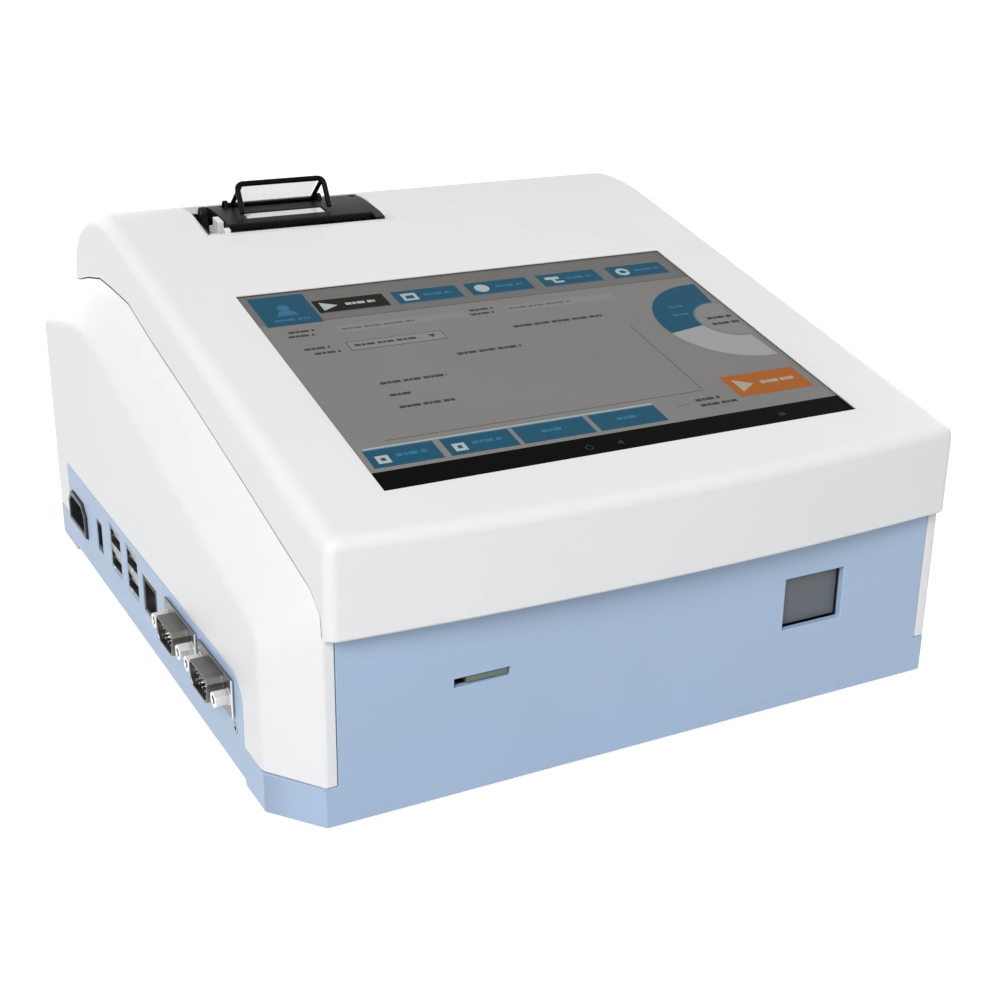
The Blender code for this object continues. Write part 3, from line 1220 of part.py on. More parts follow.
def cartridge_tray():
    """The drawer for a test cartridge: face, well and the rack under its left side."""
    body, pitch_line, pinion = bay_places()
    half = BAY_WIDTH / 2
    face_front = WALL + BAY_PLAY
    face_back = face_front + TRAY_FACE
    piece = box("cartridge_tray", (BAY_X - half, face_front, BAY_BOTTOM),
                (BAY_X + half, face_back, BAY_BOTTOM + BAY_HEIGHT))
    side = half - TRAY_SIDE_PLAY
    end = face_back + TRAY_LENGTH
    join(piece, box("tray_body", (BAY_X - side, face_back - TRAY_SIDE_PLAY, body),
                    (BAY_X + side, end, body + TRAY_DEPTH)))
    well_start = face_back + TRAY_WELL_SETBACK
    cut(piece, box("tray_well", (BAY_X - side + TRAY_RIM, well_start, body + TRAY_DEPTH - TRAY_WELL),
                   (BAY_X + side - TRAY_RIM, well_start + TRAY_WELL_LENGTH, body + TRAY_DEPTH + OVERRUN)))
    first = pinion.x - RACK_AHEAD
    line = rack_line(pitch_line, pinion.x, body + GAP, first, first + math.pi * GEAR_MODULE * RACK_TEETH)
    rack_x = BAY_X - side + RACK_INSET
    join(piece, plate("tray_rack", line, "x", rack_x, rack_x + RACK_WIDTH))
    piece.modifiers["tray_rack"].use_self = True
    finish(piece, "grey_plastic")


def bay_frame():
    """The channel that guides the tray: side walls, ledges under it, ribs over it and feet on the floor."""
    body, pitch_line, pinion = bay_places()
    half = BAY_WIDTH / 2 - TRAY_SIDE_PLAY
    inside, outside = half + CHANNEL_PLAY, half + CHANNEL_PLAY + CHANNEL_WALL
    start = WALL + GAP
    end = start + CHANNEL_LENGTH
    face_clear = WALL + BAY_PLAY + TRAY_FACE + CHANNEL_PLAY
    ledge_top = body - GAP
    floor_top = pitch_line - GEAR_ADDENDUM - 2 * GAP
    floor_bottom = floor_top - CHANNEL_WALL
    rib_low = body + TRAY_DEPTH + GAP
    left_wall = BAY_X - outside
    piece = box("bay_frame", (left_wall, start, floor_bottom), (BAY_X - inside, end, CHANNEL_TOP))
    join(piece, box("channel_right", (BAY_X + inside, start, floor_bottom),
                    (BAY_X + outside, end, CHANNEL_TOP)))
    join(piece, box("channel_floor", (BAY_X - outside, face_clear, floor_bottom),
                    (BAY_X + outside, end, floor_top)))
    low, high = pinion.x - MOTOR_LUG_HALF, pinion.x + MOTOR_LUG_HALF
    join(piece, box("motor_lug", (left_wall, low, pinion.y - MOTOR_LUG_HALF),
                    (BAY_X - inside, high, pinion.y + MOTOR_LUG_HALF)))
    for side in (-1, 1):
        edge, reach = inside + WALL / 2, half - LEDGE
        join(piece, block_at(f"ledge_{side}", side, (reach, face_clear, floor_top - GAP),
                             (edge, end, ledge_top)))
        join(piece, block_at(f"rib_{side}", side, (reach, face_clear + GAP, rib_low),
                             (edge, end, rib_low + RIB)))
        for number, y in enumerate((start + CHANNEL_LENGTH * CHANNEL_FOOT_SHARE, end - CHANNEL_FOOT)):
            join(piece, block_at(f"channel_foot_{side}_{number}", side, (inside + GAP, y, FLOOR_TOP + GAP),
                                 (outside, y + CHANNEL_FOOT, floor_top)))
    rack_x = BAY_X - half + RACK_INSET
    cut(piece, box("pinion_slot", (rack_x - 2 * GAP, pinion.x - PINION_SLOT_HALF, floor_bottom - OVERRUN),
                   (rack_x + RACK_WIDTH + 2 * GAP, pinion.x + PINION_SLOT_HALF, ledge_top)))
    cut(piece, rod("tray_spindle_hole", PLATEN_SHAFT + GAP, (left_wall - OVERRUN, *pinion),
                   (BAY_X - inside + GAP, *pinion), 12))
    finish(piece, "black_plastic")


def block_at(name, side, low, high):
    """A block given for the right of the cartridge bay, and mirrored about the bay to its left."""
    if side > 0:
        return box(name, (BAY_X + low[0], low[1], low[2]), (BAY_X + high[0], high[1], high[2]))
    return box(name, (BAY_X - high[0], low[1], low[2]), (BAY_X - low[0], high[1], high[2]))


def tray_drive():
    """The tray's pinion on its spindle and the motor on the channel's left wall."""
    pinion = bay_places()[2]
    half = BAY_WIDTH / 2 - TRAY_SIDE_PLAY
    rack_x = BAY_X - half + RACK_INSET
    motor_right = BAY_X - half - CHANNEL_PLAY - CHANNEL_WALL - GAP
    piece = gear("tray_pinion", TRAY_PINION_TEETH, math.pi / 2, rack_x, pinion, RACK_WIDTH, 0)
    spindle = rod("tray_spindle", PLATEN_SHAFT, (motor_right - MOTOR_GRIP, *pinion),
                  (rack_x + RACK_WIDTH / 2, *pinion), 10)
    finish(join(piece, spindle), "natural_nylon")
    motor = rod("tray_motor", TRAY_MOTOR_RADIUS, (motor_right - TRAY_MOTOR_LENGTH, *pinion),
                (motor_right, *pinion), 24)
    cut(motor, rod("tray_motor_hole", PLATEN_SHAFT + GAP, (motor_right - MOTOR_GRIP - GAP, *pinion),
                   (motor_right + OVERRUN, *pinion), 12))
    finish(motor, "steel")


def optics():
    """The reader's optical head across the channel, with a barrel and a lens over the tray."""
    low = (BAY_X - OPTIC_WIDTH / 2, OPTIC_START, CHANNEL_TOP + GAP)
    high = (BAY_X + OPTIC_WIDTH / 2, OPTIC_START + OPTIC_LENGTH, CHANNEL_TOP + GAP + OPTIC_HEIGHT)
    piece = box("optical_head", low, high)
    middle = (BAY_X, OPTIC_START + OPTIC_LENGTH / 2)
    tip = low[2] - BARREL_LENGTH
    join(piece, rod("lens_barrel", OPTIC_BARREL, (*middle, tip), (*middle, low[2] + LENS_THICKNESS), 20))
    bore_top = tip + LENS_INSET + LENS_THICKNESS + GAP
    cut(piece, rod("lens_bore", LENS_RADIUS + GAP, (*middle, tip - OVERRUN), (*middle, bore_top), 20))
    finish(piece, "black_plastic")
    lens_low = tip + LENS_INSET
    lens = rod("optical_lens", LENS_RADIUS, (*middle, lens_low), (*middle, lens_low + LENS_THICKNESS), 20)
    finish(lens, "lens_glass")


def code_chip():
    """The slot's socket on its two legs, and the code chip pushed into it."""
    low_x, high_x = CHIP_X - SLOT_LEFT, CHIP_X + SLOT_RIGHT
    start = WALL + GAP
    low = (low_x - SOCKET_WALL, start, SOCKET_BOTTOM)
    high = (high_x + SOCKET_WALL, start + SOCKET_DEPTH, CHIP_BOTTOM + CHIP_THICKNESS + GAP + SOCKET_ROOF)
    piece = box("chip_socket", low, high)
    cut(piece, box("chip_cavity", (low_x, 0, CHIP_BOTTOM - GAP),
                   (high_x, start + SOCKET_DEPTH - SOCKET_WALL / 2, CHIP_BOTTOM + CHIP_THICKNESS + GAP)))
    for number, x in enumerate((low[0], high[0] - SOCKET_WALL)):
        join(piece, box(f"socket_leg_{number}", (x, start, FLOOR_TOP + GAP),
                        (x + SOCKET_WALL, start + SOCKET_DEPTH / 2, SOCKET_BOTTOM + SOCKET_WALL / 2)))
    finish(piece, "black_plastic")
    chip = box("id_chip", (CHIP_X - CHIP_WIDTH / 2, CHIP_FACE, CHIP_BOTTOM),
               (CHIP_X + CHIP_WIDTH / 2, CHIP_FACE + CHIP_LENGTH, CHIP_BOTTOM + CHIP_THICKNESS))
    finish(chip, "chip_green")


def electronics():
    """The main board with its larger parts, and the caged power supply behind it."""
    low = (-HALF_WIDTH + BOARD_LEFT, BOARD_FRONT, BOARD_TOP - BOARD_THICKNESS)
    high = (BOARD_RIGHT, BOARD_REAR, BOARD_TOP)
    board = box("main_board", low, high)
    width, length = high[0] - low[0], high[1] - low[1]
    for number, (x, y, across, along, rise) in enumerate(BOARD_CHIPS_SHARES):
        corner = (low[0] + x * width, low[1] + y * length)
        join(board, box(f"board_part_{number}", (*corner, low[2] + BOARD_THICKNESS / 2),
                        (corner[0] + across * width, corner[1] + along * length,
                         BOARD_TOP + rise * BOARD_CHIP_HEIGHT)))
    finish(board, "board_green")
    left, rear = -HALF_WIDTH + SUPPLY_INSET, DEPTH - SUPPLY_AHEAD
    supply = box("power_supply", (left, rear - SUPPLY_DEPTH, FLOOR_TOP + GAP),
                 (left + SUPPLY_WIDTH, rear, FLOOR_TOP + GAP + SUPPLY_HEIGHT))
    finish(supply, "bracket_sheet")


def socket(name, y, width, height, depth, wells, well_depth):
    """A connector that stands on the board with its mouth in the port wall, cut by its wells."""
    face = -HALF_WIDTH + PORT_REST
    piece = box(name, (face, y - width / 2, PORT_FLOOR), (face + depth, y + width / 2, PORT_FLOOR + height))
    for number, (low, high) in enumerate(wells):
        cut(piece, box(f"{name}_well_{number}", (face - OVERRUN, y + low[0], PORT_FLOOR + low[1]),
                       (face + well_depth, y + high[0], PORT_FLOOR + high[1])))
    return piece


def connectors():
    """Network jack, the two double data ports and the service port."""
    half = JACK_MOUTH / 2
    jack = socket("network_jack", JACK_Y, JACK_WIDTH, JACK_HEIGHT, JACK_DEPTH,
                  [((-half, JACK_MOUTH_DROP), (half, JACK_MOUTH_DROP + JACK_MOUTH_HEIGHT))], JACK_WELL)
    finish(jack, "steel")
    bay = USB_HEIGHT / 2
    low_edge = (bay - USB_MOUTH_HEIGHT) / 2
    half = USB_WIDTH / 2 - PORT_METAL
    face = -HALF_WIDTH + PORT_REST
    for number, y in enumerate(USB_YS, 1):
        wells = [((-half, low_edge + shift), (half, low_edge + USB_MOUTH_HEIGHT + shift))
                 for shift in (0, bay)]
        stack = socket(f"usb_stack_{number}", y, USB_WIDTH, USB_HEIGHT, USB_DEPTH, wells, USB_WELL)
        for row, shift in enumerate((0, bay)):
            top = PORT_FLOOR + shift + low_edge + USB_MOUTH_HEIGHT - PORT_METAL
            low = (face + PORT_METAL, y - USB_TONGUE_WIDTH / 2, top - USB_TONGUE_HEIGHT)
            high = (face + USB_WELL + PORT_METAL, y + USB_TONGUE_WIDTH / 2, top)
            join(stack, box(f"usb_tongue_{number}_{row}", low, high))
        finish(stack, "steel")
    half, wall = SERVICE_WIDTH / 2 - SERVICE_WALL, SERVICE_WALL
    service = socket("service_port", SERVICE_Y, SERVICE_WIDTH, SERVICE_HEIGHT, SERVICE_DEPTH,
                     [((-half, 2 * wall), (half, SERVICE_HEIGHT - wall))], SERVICE_WELL)
    finish(service, "black_plastic")


def dshell_line(y, shrink):
    """The D outline of a serial port, wider at the top than at the bottom."""
    half, rise = DSHELL_WIDTH / 2 - shrink, DSHELL_HEIGHT / 2 - shrink
    corner = DSHELL_HEIGHT / 6
    slant = DSHELL_SLANT
    return [(y - half + slant + corner, SERIAL_Z - rise), (y + half - slant - corner, SERIAL_Z - rise),
            (y + half - slant, SERIAL_Z - rise + corner), (y + half, SERIAL_Z + rise - corner),
            (y + half - corner, SERIAL_Z + rise), (y - half + corner, SERIAL_Z + rise),
            (y - half, SERIAL_Z + rise - corner), (y - half + slant, SERIAL_Z - rise + corner)]


def serial_ports():
    """Two serial ports: a plated flange with its shell and hex posts, over a dark insert with nine pins."""
    outer = -HALF_WIDTH - GAP
    tip = -HALF_WIDTH - SERIAL_PROUD
    for number, y in enumerate(SERIAL_YS, 1):
        half, rise = FLANGE_WIDTH / 2, FLANGE_HEIGHT / 2
        mouth = dshell_line(y, DSHELL_WALL)
        posts = [y - STANDOFF_SPACING / 2, y + STANDOFF_SPACING / 2]
        flange = rectangle((y - half, SERIAL_Z - rise), (y + half, SERIAL_Z + rise))
        port = plate(f"serial_port_{number}", flange, "x", outer - FLANGE_THICKNESS, outer, [mouth])
        join(port, plate(f"dshell_{number}", dshell_line(y, 0), "x", tip, outer - FLANGE_THICKNESS / 2,
                         [mouth]))
        for side, post in enumerate(posts):
            join(port, rod(f"hex_post_{number}_{side}", STANDOFF_RADIUS, (tip + STANDOFF_SHY, post, SERIAL_Z),
                           (outer - FLANGE_THICKNESS / 2, post, SERIAL_Z), 6))
            cut(port, rod(f"post_hole_{number}_{side}", STANDOFF_HOLE, (tip - OVERRUN, post, SERIAL_Z),
                          (outer - FLANGE_THICKNESS - PORT_METAL, post, SERIAL_Z), 10))
        finish(port, "nickel")
        block_half = DSHELL_WIDTH / 2
        insert = box(f"serial_insert_{number}", (-HALF_WIDTH + WALL / 2, y - block_half, PORT_FLOOR),
                     (-HALF_WIDTH + WALL / 2 + INSERT_DEPTH, y + block_half, SERIAL_Z + DSHELL_HEIGHT / 2))
        cut(insert, box(f"insert_step_{number}", (-HALF_WIDTH - OVERRUN, y - half, PORT_FLOOR - OVERRUN),
                        (-HALF_WIDTH + WALL + GAP, y + half, SERIAL_Z - DSHELL_HEIGHT / 2)))
        join(insert, plate(f"insert_face_{number}", dshell_line(y, DSHELL_WALL + GAP), "x",
                           outer - INSERT_PROUD, -HALF_WIDTH + WALL))
        for row, count in ((1, 5), (-1, 4)):
            for pin in range(count):
                at = (y + (pin - (count - 1) / 2) * PIN_PITCH, SERIAL_Z + row * PIN_ROW)
                join(insert, rod(f"pin_{number}_{row}_{pin}", PIN_RADIUS, (tip + PIN_SHY, *at),
                                 (outer - INSERT_PROUD / 2, *at), 6))
        finish(insert, "black_plastic")


def inlet_line(shrink):
    """The mains inlet's outline, with its two upper corners cut."""
    half, rise = INLET_WIDTH / 2 - shrink, INLET_HEIGHT / 2 - shrink
    corner = INLET_CORNER - shrink / 2
    return [(INLET_Y - half, INLET_Z - rise), (INLET_Y + half, INLET_Z - rise),
            (INLET_Y + half, INLET_Z + rise - corner), (INLET_Y + half - corner, INLET_Z + rise),
            (INLET_Y - half + corner, INLET_Z + rise), (INLET_Y - half, INLET_Z + rise - corner)]


def mains_inlet():
    """The mains inlet's sleeve, and the contact block with its three blades in the back of it."""
    face = -HALF_WIDTH - INLET_PROUD
    end = face + INLET_DEPTH
    body = plate("inlet_body", inlet_line(0), "x", face, end, [inlet_line(INLET_WALL)])
    finish(body, "black_plastic")
    block = plate("inlet_contacts", inlet_line(INLET_WALL + GAP), "x", end - CONTACT_BLOCK, end)
    thick, tall = BLADE_SIZE
    for number, (shift, z) in enumerate(((-BLADE_SPACING, INLET_Z - BLADE_DROP), (0, INLET_Z + BLADE_RISE),
                                         (BLADE_SPACING, INLET_Z - BLADE_DROP))):
        y = INLET_Y + shift
        join(block, box(f"blade_{number}", (end - CONTACT_BLOCK - BLADE_LENGTH, y - thick / 2, z - tall / 2),
                        (end - CONTACT_BLOCK / 2, y + thick / 2, z + tall / 2)))
    finish(block, "nickel")


case = bpy.data.objects.new("case", None)
parts.objects.link(case)
screen_plane = bpy.data.objects.new("screen_plane", None)
parts.objects.link(screen_plane)
screen_plane.location = (0, -LIP_DEPTH, LIP_TOP)
screen_plane.rotation_euler = (math.atan(SLOPE), 0, 0)

tray()
side_shell("left_side_shell", -1)
side_shell("right_side_shell", 1)
top_cover(screen_plane)
screen_parts(screen_plane)
feet()
screws()
rear_panel()
power_switch()
printer_frame()
printer_door()
door_bail()
paper_drive()
cartridge_tray()
bay_frame()
tray_drive()
optics()
code_chip()
electronics()
connectors()
serial_ports()
mains_inlet()

for item in (*parts.objects, *cutters.objects):
    if item.parent is None and item is not case:
        item.parent = case
case.location = (SERIAL_PROUD / 2, (LIP_DEPTH + LIP_BOW - DEPTH) / 2, FOOT_HEIGHT - FLOOR_BOTTOM + GAP)
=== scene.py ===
"""Looks of a benchtop immunoassay analyzer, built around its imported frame, one section for each piece."""
import json
import math

import bmesh
import bpy
from mathutils import Matrix, Vector


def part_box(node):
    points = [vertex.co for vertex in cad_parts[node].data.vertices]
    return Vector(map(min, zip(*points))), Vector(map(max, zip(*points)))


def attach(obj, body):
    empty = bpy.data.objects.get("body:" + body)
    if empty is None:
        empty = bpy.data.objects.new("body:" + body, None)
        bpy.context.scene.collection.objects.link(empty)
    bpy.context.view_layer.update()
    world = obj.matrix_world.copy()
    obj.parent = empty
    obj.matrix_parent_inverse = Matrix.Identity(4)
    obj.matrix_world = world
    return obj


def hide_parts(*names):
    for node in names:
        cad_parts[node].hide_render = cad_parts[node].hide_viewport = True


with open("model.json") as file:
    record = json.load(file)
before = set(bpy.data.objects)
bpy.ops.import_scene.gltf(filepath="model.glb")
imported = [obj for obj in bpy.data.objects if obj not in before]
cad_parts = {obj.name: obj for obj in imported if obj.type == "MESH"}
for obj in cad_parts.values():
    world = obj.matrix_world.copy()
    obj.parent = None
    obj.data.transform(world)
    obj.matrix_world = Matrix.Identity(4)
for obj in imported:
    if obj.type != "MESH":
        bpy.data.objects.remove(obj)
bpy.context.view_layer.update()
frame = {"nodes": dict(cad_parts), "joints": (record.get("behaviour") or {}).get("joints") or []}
scene = bpy.context.scene

# The camera stands ahead of the left front corner, a little above the screen, with a mild telephoto lens.
# Its place and turn were solved from the corners of the case.
camera_at = Vector((-0.24284, -0.47558, 0.24992))
camera_round, camera_above, camera_roll = (math.radians(turn) for turn in (-28.278, 21.528, 0.791))
lens_mm, film_mm = 57.588, 36.0
outwards = Vector((math.sin(camera_round) * math.cos(camera_above),
                   -math.cos(camera_round) * math.cos(camera_above), math.sin(camera_above)))
level = (-outwards).cross(Vector((0, 0, 1))).normalized()
upright = level.cross(-outwards)
across = level * math.cos(camera_roll) + upright * math.sin(camera_roll)
upwards = upright * math.cos(camera_roll) - level * math.sin(camera_roll)
camera_data = bpy.data.cameras.new("camera")
camera_data.lens = lens_mm
camera_data.sensor_width = film_mm
camera = bpy.data.objects.new("camera", camera_data)
camera_turn = Matrix((across, upwards, outwards)).transposed().to_4x4()
camera.matrix_world = Matrix.Translation(camera_at) @ camera_turn
scene.collection.objects.link(camera)
scene.camera = camera
scene.view_settings.view_transform = "Standard"

# The studio: a white table that fades into a white wall, a large soft lamp high on the left, and weak ones
# on the right and behind. Camera, mirror and glass rays see plain white,
# and the table is see-through from below.
floor_reach = 9.0
floor_white = 0.62
floor_lift = 0.78
sky_strength = 0.36
lamps = (("key_lamp", (-1.40, -1.45, 1.55), 1.3, 49.0), ("side_lamp", (1.9, 0.5, 0.8), 1.4, 12.0),
         ("rear_lamp", (-0.2, 2.2, 0.35), 1.4, 7.0))


def feed(tree, node, inputs):
    """Sets a node's inputs: each is a plain value or another node's output."""
    for name, value in inputs.items():
        if isinstance(value, bpy.types.NodeSocket):
            tree.links.new(value, node.inputs[name])
        else:
            node.inputs[name].default_value = value


def add_node(tree, kind, inputs=(), **settings):
    """Adds a node, with its settings and then its inputs."""
    node = tree.nodes.new(f"ShaderNode{kind}")
    for name, value in settings.items():
        setattr(node, name, value)
    feed(tree, node, dict(inputs))
    return node


def new_material(name):
    """A material, its tree and its shader."""
    material = bpy.data.materials.new(name)
    material.use_nodes = True
    return material, material.node_tree, material.node_tree.nodes["Principled BSDF"]


def seen_directly(tree):
    """One where a ray comes from the camera, a mirror or glass, and zero elsewhere."""
    path = add_node(tree, "LightPath").outputs
    last = path["Is Camera Ray"]
    for name in ("Is Glossy Ray", "Is Transmission Ray"):
        last = add_node(tree, "Math", {0: last, 1: path[name]}, operation="MAXIMUM").outputs[0]
    return last


table_paper, tree, shader = new_material("table_paper")
lift = add_node(tree, "Math", {0: seen_directly(tree), 1: floor_lift}, operation="MULTIPLY")
feed(tree, shader, {"Base Color": (floor_white, floor_white, floor_white, 1), "Roughness": 0.9,
                    "Specular IOR Level": 0.0, "Emission Color": (1, 1, 1, 1),
                    "Emission Strength": lift.outputs[0]})
either = add_node(tree, "MixShader", {"Fac": add_node(tree, "NewGeometry").outputs["Backfacing"],
                                      1: shader.outputs[0], 2: add_node(tree, "BsdfTransparent").outputs[0]})
feed(tree, tree.nodes["Material Output"], {"Surface": either.outputs[0]})
table_shape = bmesh.new()
bmesh.ops.create_circle(table_shape, cap_ends=True, segments=64, radius=floor_reach)
table_mesh = bpy.data.meshes.new("table")
table_shape.to_mesh(table_mesh)
table_shape.free()
table = bpy.data.objects.new("table", table_mesh)
table_mesh.materials.append(table_paper)
scene.collection.objects.link(table)

sky = bpy.data.worlds.new("sky")
sky.use_nodes = True
tree = sky.node_tree
pale = (1, 1, 1, 1)
feed(tree, tree.nodes["Background"], {"Color": pale, "Strength": sky_strength})
wall = add_node(tree, "Background", {"Color": pale, "Strength": 1.0})
chosen = add_node(tree, "MixShader", {"Fac": seen_directly(tree), 1: tree.nodes["Background"].outputs[0],
                                      2: wall.outputs[0]})
feed(tree, tree.nodes["World Output"], {"Surface": chosen.outputs[0]})
scene.world = sky

for name, place, width, power in lamps:
    lamp_data = bpy.data.lights.new(name, "AREA")
    lamp_data.shape = "DISK"
    lamp_data.size = width
    lamp_data.energy = power
    lamp = bpy.data.objects.new(name, lamp_data)
    lamp.location = place
    lamp.rotation_euler = (-Vector(place)).to_track_quat("-Z", "Y").to_euler()
    scene.collection.objects.link(lamp)

# The white top cover: one moulding with a bowed lip in front, a tilted face with the screen's window, a crest
# at the back and an opening over the printer. Satin plastic with a fine spark-eroded texture in the mould.
case_at = Vector((0.003, -0.1188, 0.001))
half_width, front_half_width, corner_run = 0.1194, 0.107, 0.0159
depth, crest, wall_thickness = 0.2462, 0.1331, 0.0025
fit, past = 0.0003, 0.002
lip_bottom, lip_top, lip_depth, lip_bow, lip_seam = 0.0585, 0.0879, 0.0041, 0.0045, 0.0004
slope_end = (0.747 * depth, 0.9855 * crest)
crest_points = ((0.780, 0.9944), (0.8085, 0.9991), (0.8325, 1.0), (0.854, 0.9962), (0.8855, 0.9857),
                (0.917, 0.9647), (0.960, 0.9189), (0.990, 0.8502))
ribbon_points = ((0.029, 0.5266, 0.084, 0.4231), (0.102, 0.5604, 0.133, 0.4433),
                 (0.213, 0.6129, 0.2535, 0.4948), (0.3155, 0.6589, 0.349, 0.5392),
                 (0.428, 0.7084, 0.4465, 0.5836), (0.5935, 0.7755, 0.623, 0.6644),
                 (0.692, 0.8235, 0.694, 0.7048), (0.768, 0.8285, 0.772, 0.7205),
                 (0.8375, 0.8295, 0.831, 0.7129), (0.9095, 0.8033, 0.902, 0.6877), (1.0, 0.7593, 1.0, 0.6478))
tray_height = 0.0125
shell_bottom = tray_height + fit
slope = (slope_end[1] - lip_top) / (slope_end[0] + lip_depth)
rear_edge = ribbon_points[-1][1] * crest + fit
bow_columns = 40
cover_round, lip_round = 0.005, 0.0034
window_half, window_start, window_length = 0.0817, 0.019, 0.1204
window_bevel, window_drop, glass_drop = 0.004, 0.0007, 0.0016
hinge_y = crest_points[2][0] * depth + 0.0017
printer_x, opening_left, opening_right = -0.0401, 0.0346, 0.0331
opening_front, opening_rear, opening_drop = 0.0279, 0.0031, 0.0012
opening_flares = (0.0016, 0.0056, 0.003, 0)
screen_frame = (Matrix.Translation(Vector((0, -lip_depth, lip_top)) + case_at)
                @ Matrix.Rotation(math.atan(slope), 4, "X"))


def shared_effect(name, given, made):
    """A node group with its sockets: its tree, what it is given, and its end."""
    tree = bpy.data.node_groups.new(name, "ShaderNodeTree")
    for way, sockets in (("INPUT", given), ("OUTPUT", made)):
        for socket, kind in sockets:
            tree.interface.new_socket(socket, in_out=way, socket_type=f"NodeSocket{kind}")
    return tree, tree.nodes.new("NodeGroupInput").outputs, tree.nodes.new("NodeGroupOutput")


surface_made = (("Colour", "Color"), ("Roughness", "Float"), ("Height", "Float"))


def finish_surface(tree, given, made, kept, dulling, height):
    """Ends a surface effect: the colour scaled by what is kept, and the roughness moved by a noise."""
    tint = add_node(tree, "VectorMath", {0: given["Colour"], "Scale": kept}, operation="SCALE")
    off_middle = add_node(tree, "Math", {0: dulling, 1: 0.5}, operation="SUBTRACT")
    dull = add_node(tree, "Math", {0: off_middle.outputs[0], 1: given["Roughness change"],
                                   2: given["Roughness"]}, operation="MULTIPLY_ADD", use_clamp=True)
    feed(tree, made, {"Colour": tint.outputs[0], "Roughness": dull.outputs[0], "Height": height})


def moulded_skin():
    """Shared effect: slow change of shade, fine mould texture and finger-dulled patches."""
    tree, given, made = shared_effect("moulded_skin", (
        ("Colour", "Color"), ("Shade change", "Float"), ("Roughness", "Float"), ("Roughness change", "Float"),
        ("Grain scale", "Float")), surface_made)
    place = add_node(tree, "TexCoord").outputs["Object"]
    clouds, dulling, grain = (
        add_node(tree, "TexNoise", {"Scale": scale, "Detail": detail, "Vector": place}).outputs["Fac"]
        for scale, detail in ((18.0, 3.0), (55.0, 4.0), (given["Grain scale"], 2.0)))
    darkest = add_node(tree, "Math", {0: 1.0, 1: given["Shade change"]}, operation="SUBTRACT")
    shade = add_node(tree, "MapRange", {"Value": clouds, "From Min": 0.3, "From Max": 0.7,
                                        "To Min": darkest.outputs[0], "To Max": 1.0})
    finish_surface(tree, given, made, shade.outputs[0], dulling, grain)
    return tree


def edge_wear_and_sheen():
    """Shared effect: a mask that is one on corners, broken up by noise, for edge wear and a painted edge sheen.
    """
    tree, given, made = shared_effect("edge_wear_and_sheen", (("Strength", "Float"),), (("Mask", "Float"),))
    rounded = add_node(tree, "Bevel", {"Radius": 0.0006}, samples=4)
    surface = add_node(tree, "NewGeometry")
    alike = add_node(tree, "VectorMath", {0: rounded.outputs["Normal"], 1: surface.outputs["Normal"]},
                     operation="DOT_PRODUCT")
    corner = add_node(tree, "MapRange", {"Value": alike.outputs["Value"], "From Min": 0.995,
                                         "From Max": 0.90})
    place = add_node(tree, "TexCoord").outputs["Object"]
    breaks = add_node(tree, "TexNoise", {"Scale": 420.0, "Vector": place})
    last = corner.outputs[0]
    for share in (breaks.outputs["Fac"], given["Strength"]):
        last = add_node(tree, "Math", {0: last, 1: share}, operation="MULTIPLY").outputs[0]
    feed(tree, made, {"Mask": last})
    return tree


moulding, wear_and_sheen_effect = moulded_skin(), edge_wear_and_sheen()


def plastic(name, colour, roughness, shade=0.05, dulling=0.12, grain=1500.0, depth_mm=0.02, wear_and_sheen=0.0,
            wear_and_sheen_colour=(0.35, 0.35, 0.36), specular=0.5):
    """A moulded plastic or rubber with its own colour, gloss, texture and amount of edge wear and painted edge
    sheen.
    """
    material, tree, shader = new_material(name)
    skin = add_node(tree, "Group", {"Colour": (*colour, 1), "Shade change": shade, "Roughness": roughness,
                                    "Roughness change": dulling, "Grain scale": grain},
                    node_tree=moulding).outputs
    base = skin["Colour"]
    bump = add_node(tree, "Bump", {"Distance": depth_mm / 1000, "Strength": 0.6, "Height": skin["Height"]})
    # Corners take another colour: rubbed wear, and a painted edge sheen where it is lighter than the body.
    if wear_and_sheen:
        mask = add_node(tree, "Group", {"Strength": wear_and_sheen}, node_tree=wear_and_sheen_effect).outputs["Mask"]
        base = add_node(tree, "Mix", {"Factor": mask, "A": base, "B": (*wear_and_sheen_colour, 1)},
                        data_type="RGBA").outputs["Result"]
    feed(tree, shader, {"Specular IOR Level": specular, "Normal": bump.outputs["Normal"],
                        "Roughness": skin["Roughness"], "Base Color": base})
    return material


def add_piece(name, shape, body, materials, nodes=(), crease=34):
    """Puts a finished mesh in the scene, on its body, in the place of the solids that it stands for."""
    mesh = bpy.data.meshes.new(name)
    bmesh.ops.recalc_face_normals(shape, faces=shape.faces)
    shape.to_mesh(mesh)
    shape.free()
    mesh.shade_smooth()
    mesh.set_sharp_from_angle(angle=math.radians(crease))
    piece = bpy.data.objects.new(name, mesh)
    scene.collection.objects.link(piece)
    for material in materials if isinstance(materials, (list, tuple)) else (materials,):
        mesh.materials.append(material)
    even = piece.modifiers.new("even shading", "WEIGHTED_NORMAL")
    even.keep_sharp = True
    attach(piece, body)
    if nodes:
        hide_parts(*nodes)
    return piece


def shaped(shape, *steps):
    """Runs Blender's modifiers on a bare mesh and hands back the settled mesh."""
    def bench(loose):
        mesh = bpy.data.meshes.new("work")
        loose.to_mesh(mesh)
        loose.free()
        item = bpy.data.objects.new("work", mesh)
        scene.collection.objects.link(item)
        return item

    work, tools = bench(shape), []
    for kind, values in steps:
        step = work.modifiers.new(kind, kind)
        for key, value in values.items():
            if isinstance(value, bmesh.types.BMesh):
                value = bench(value)
                tools.append(value)
            setattr(step, key, value)
    bpy.context.view_layer.update()
    settled = bmesh.new()
    finished = work.evaluated_get(bpy.context.evaluated_depsgraph_get())
    settled.from_mesh(bpy.data.meshes.new_from_object(finished))
    for item in (work, *tools):
        bpy.data.objects.remove(item)
    return settled


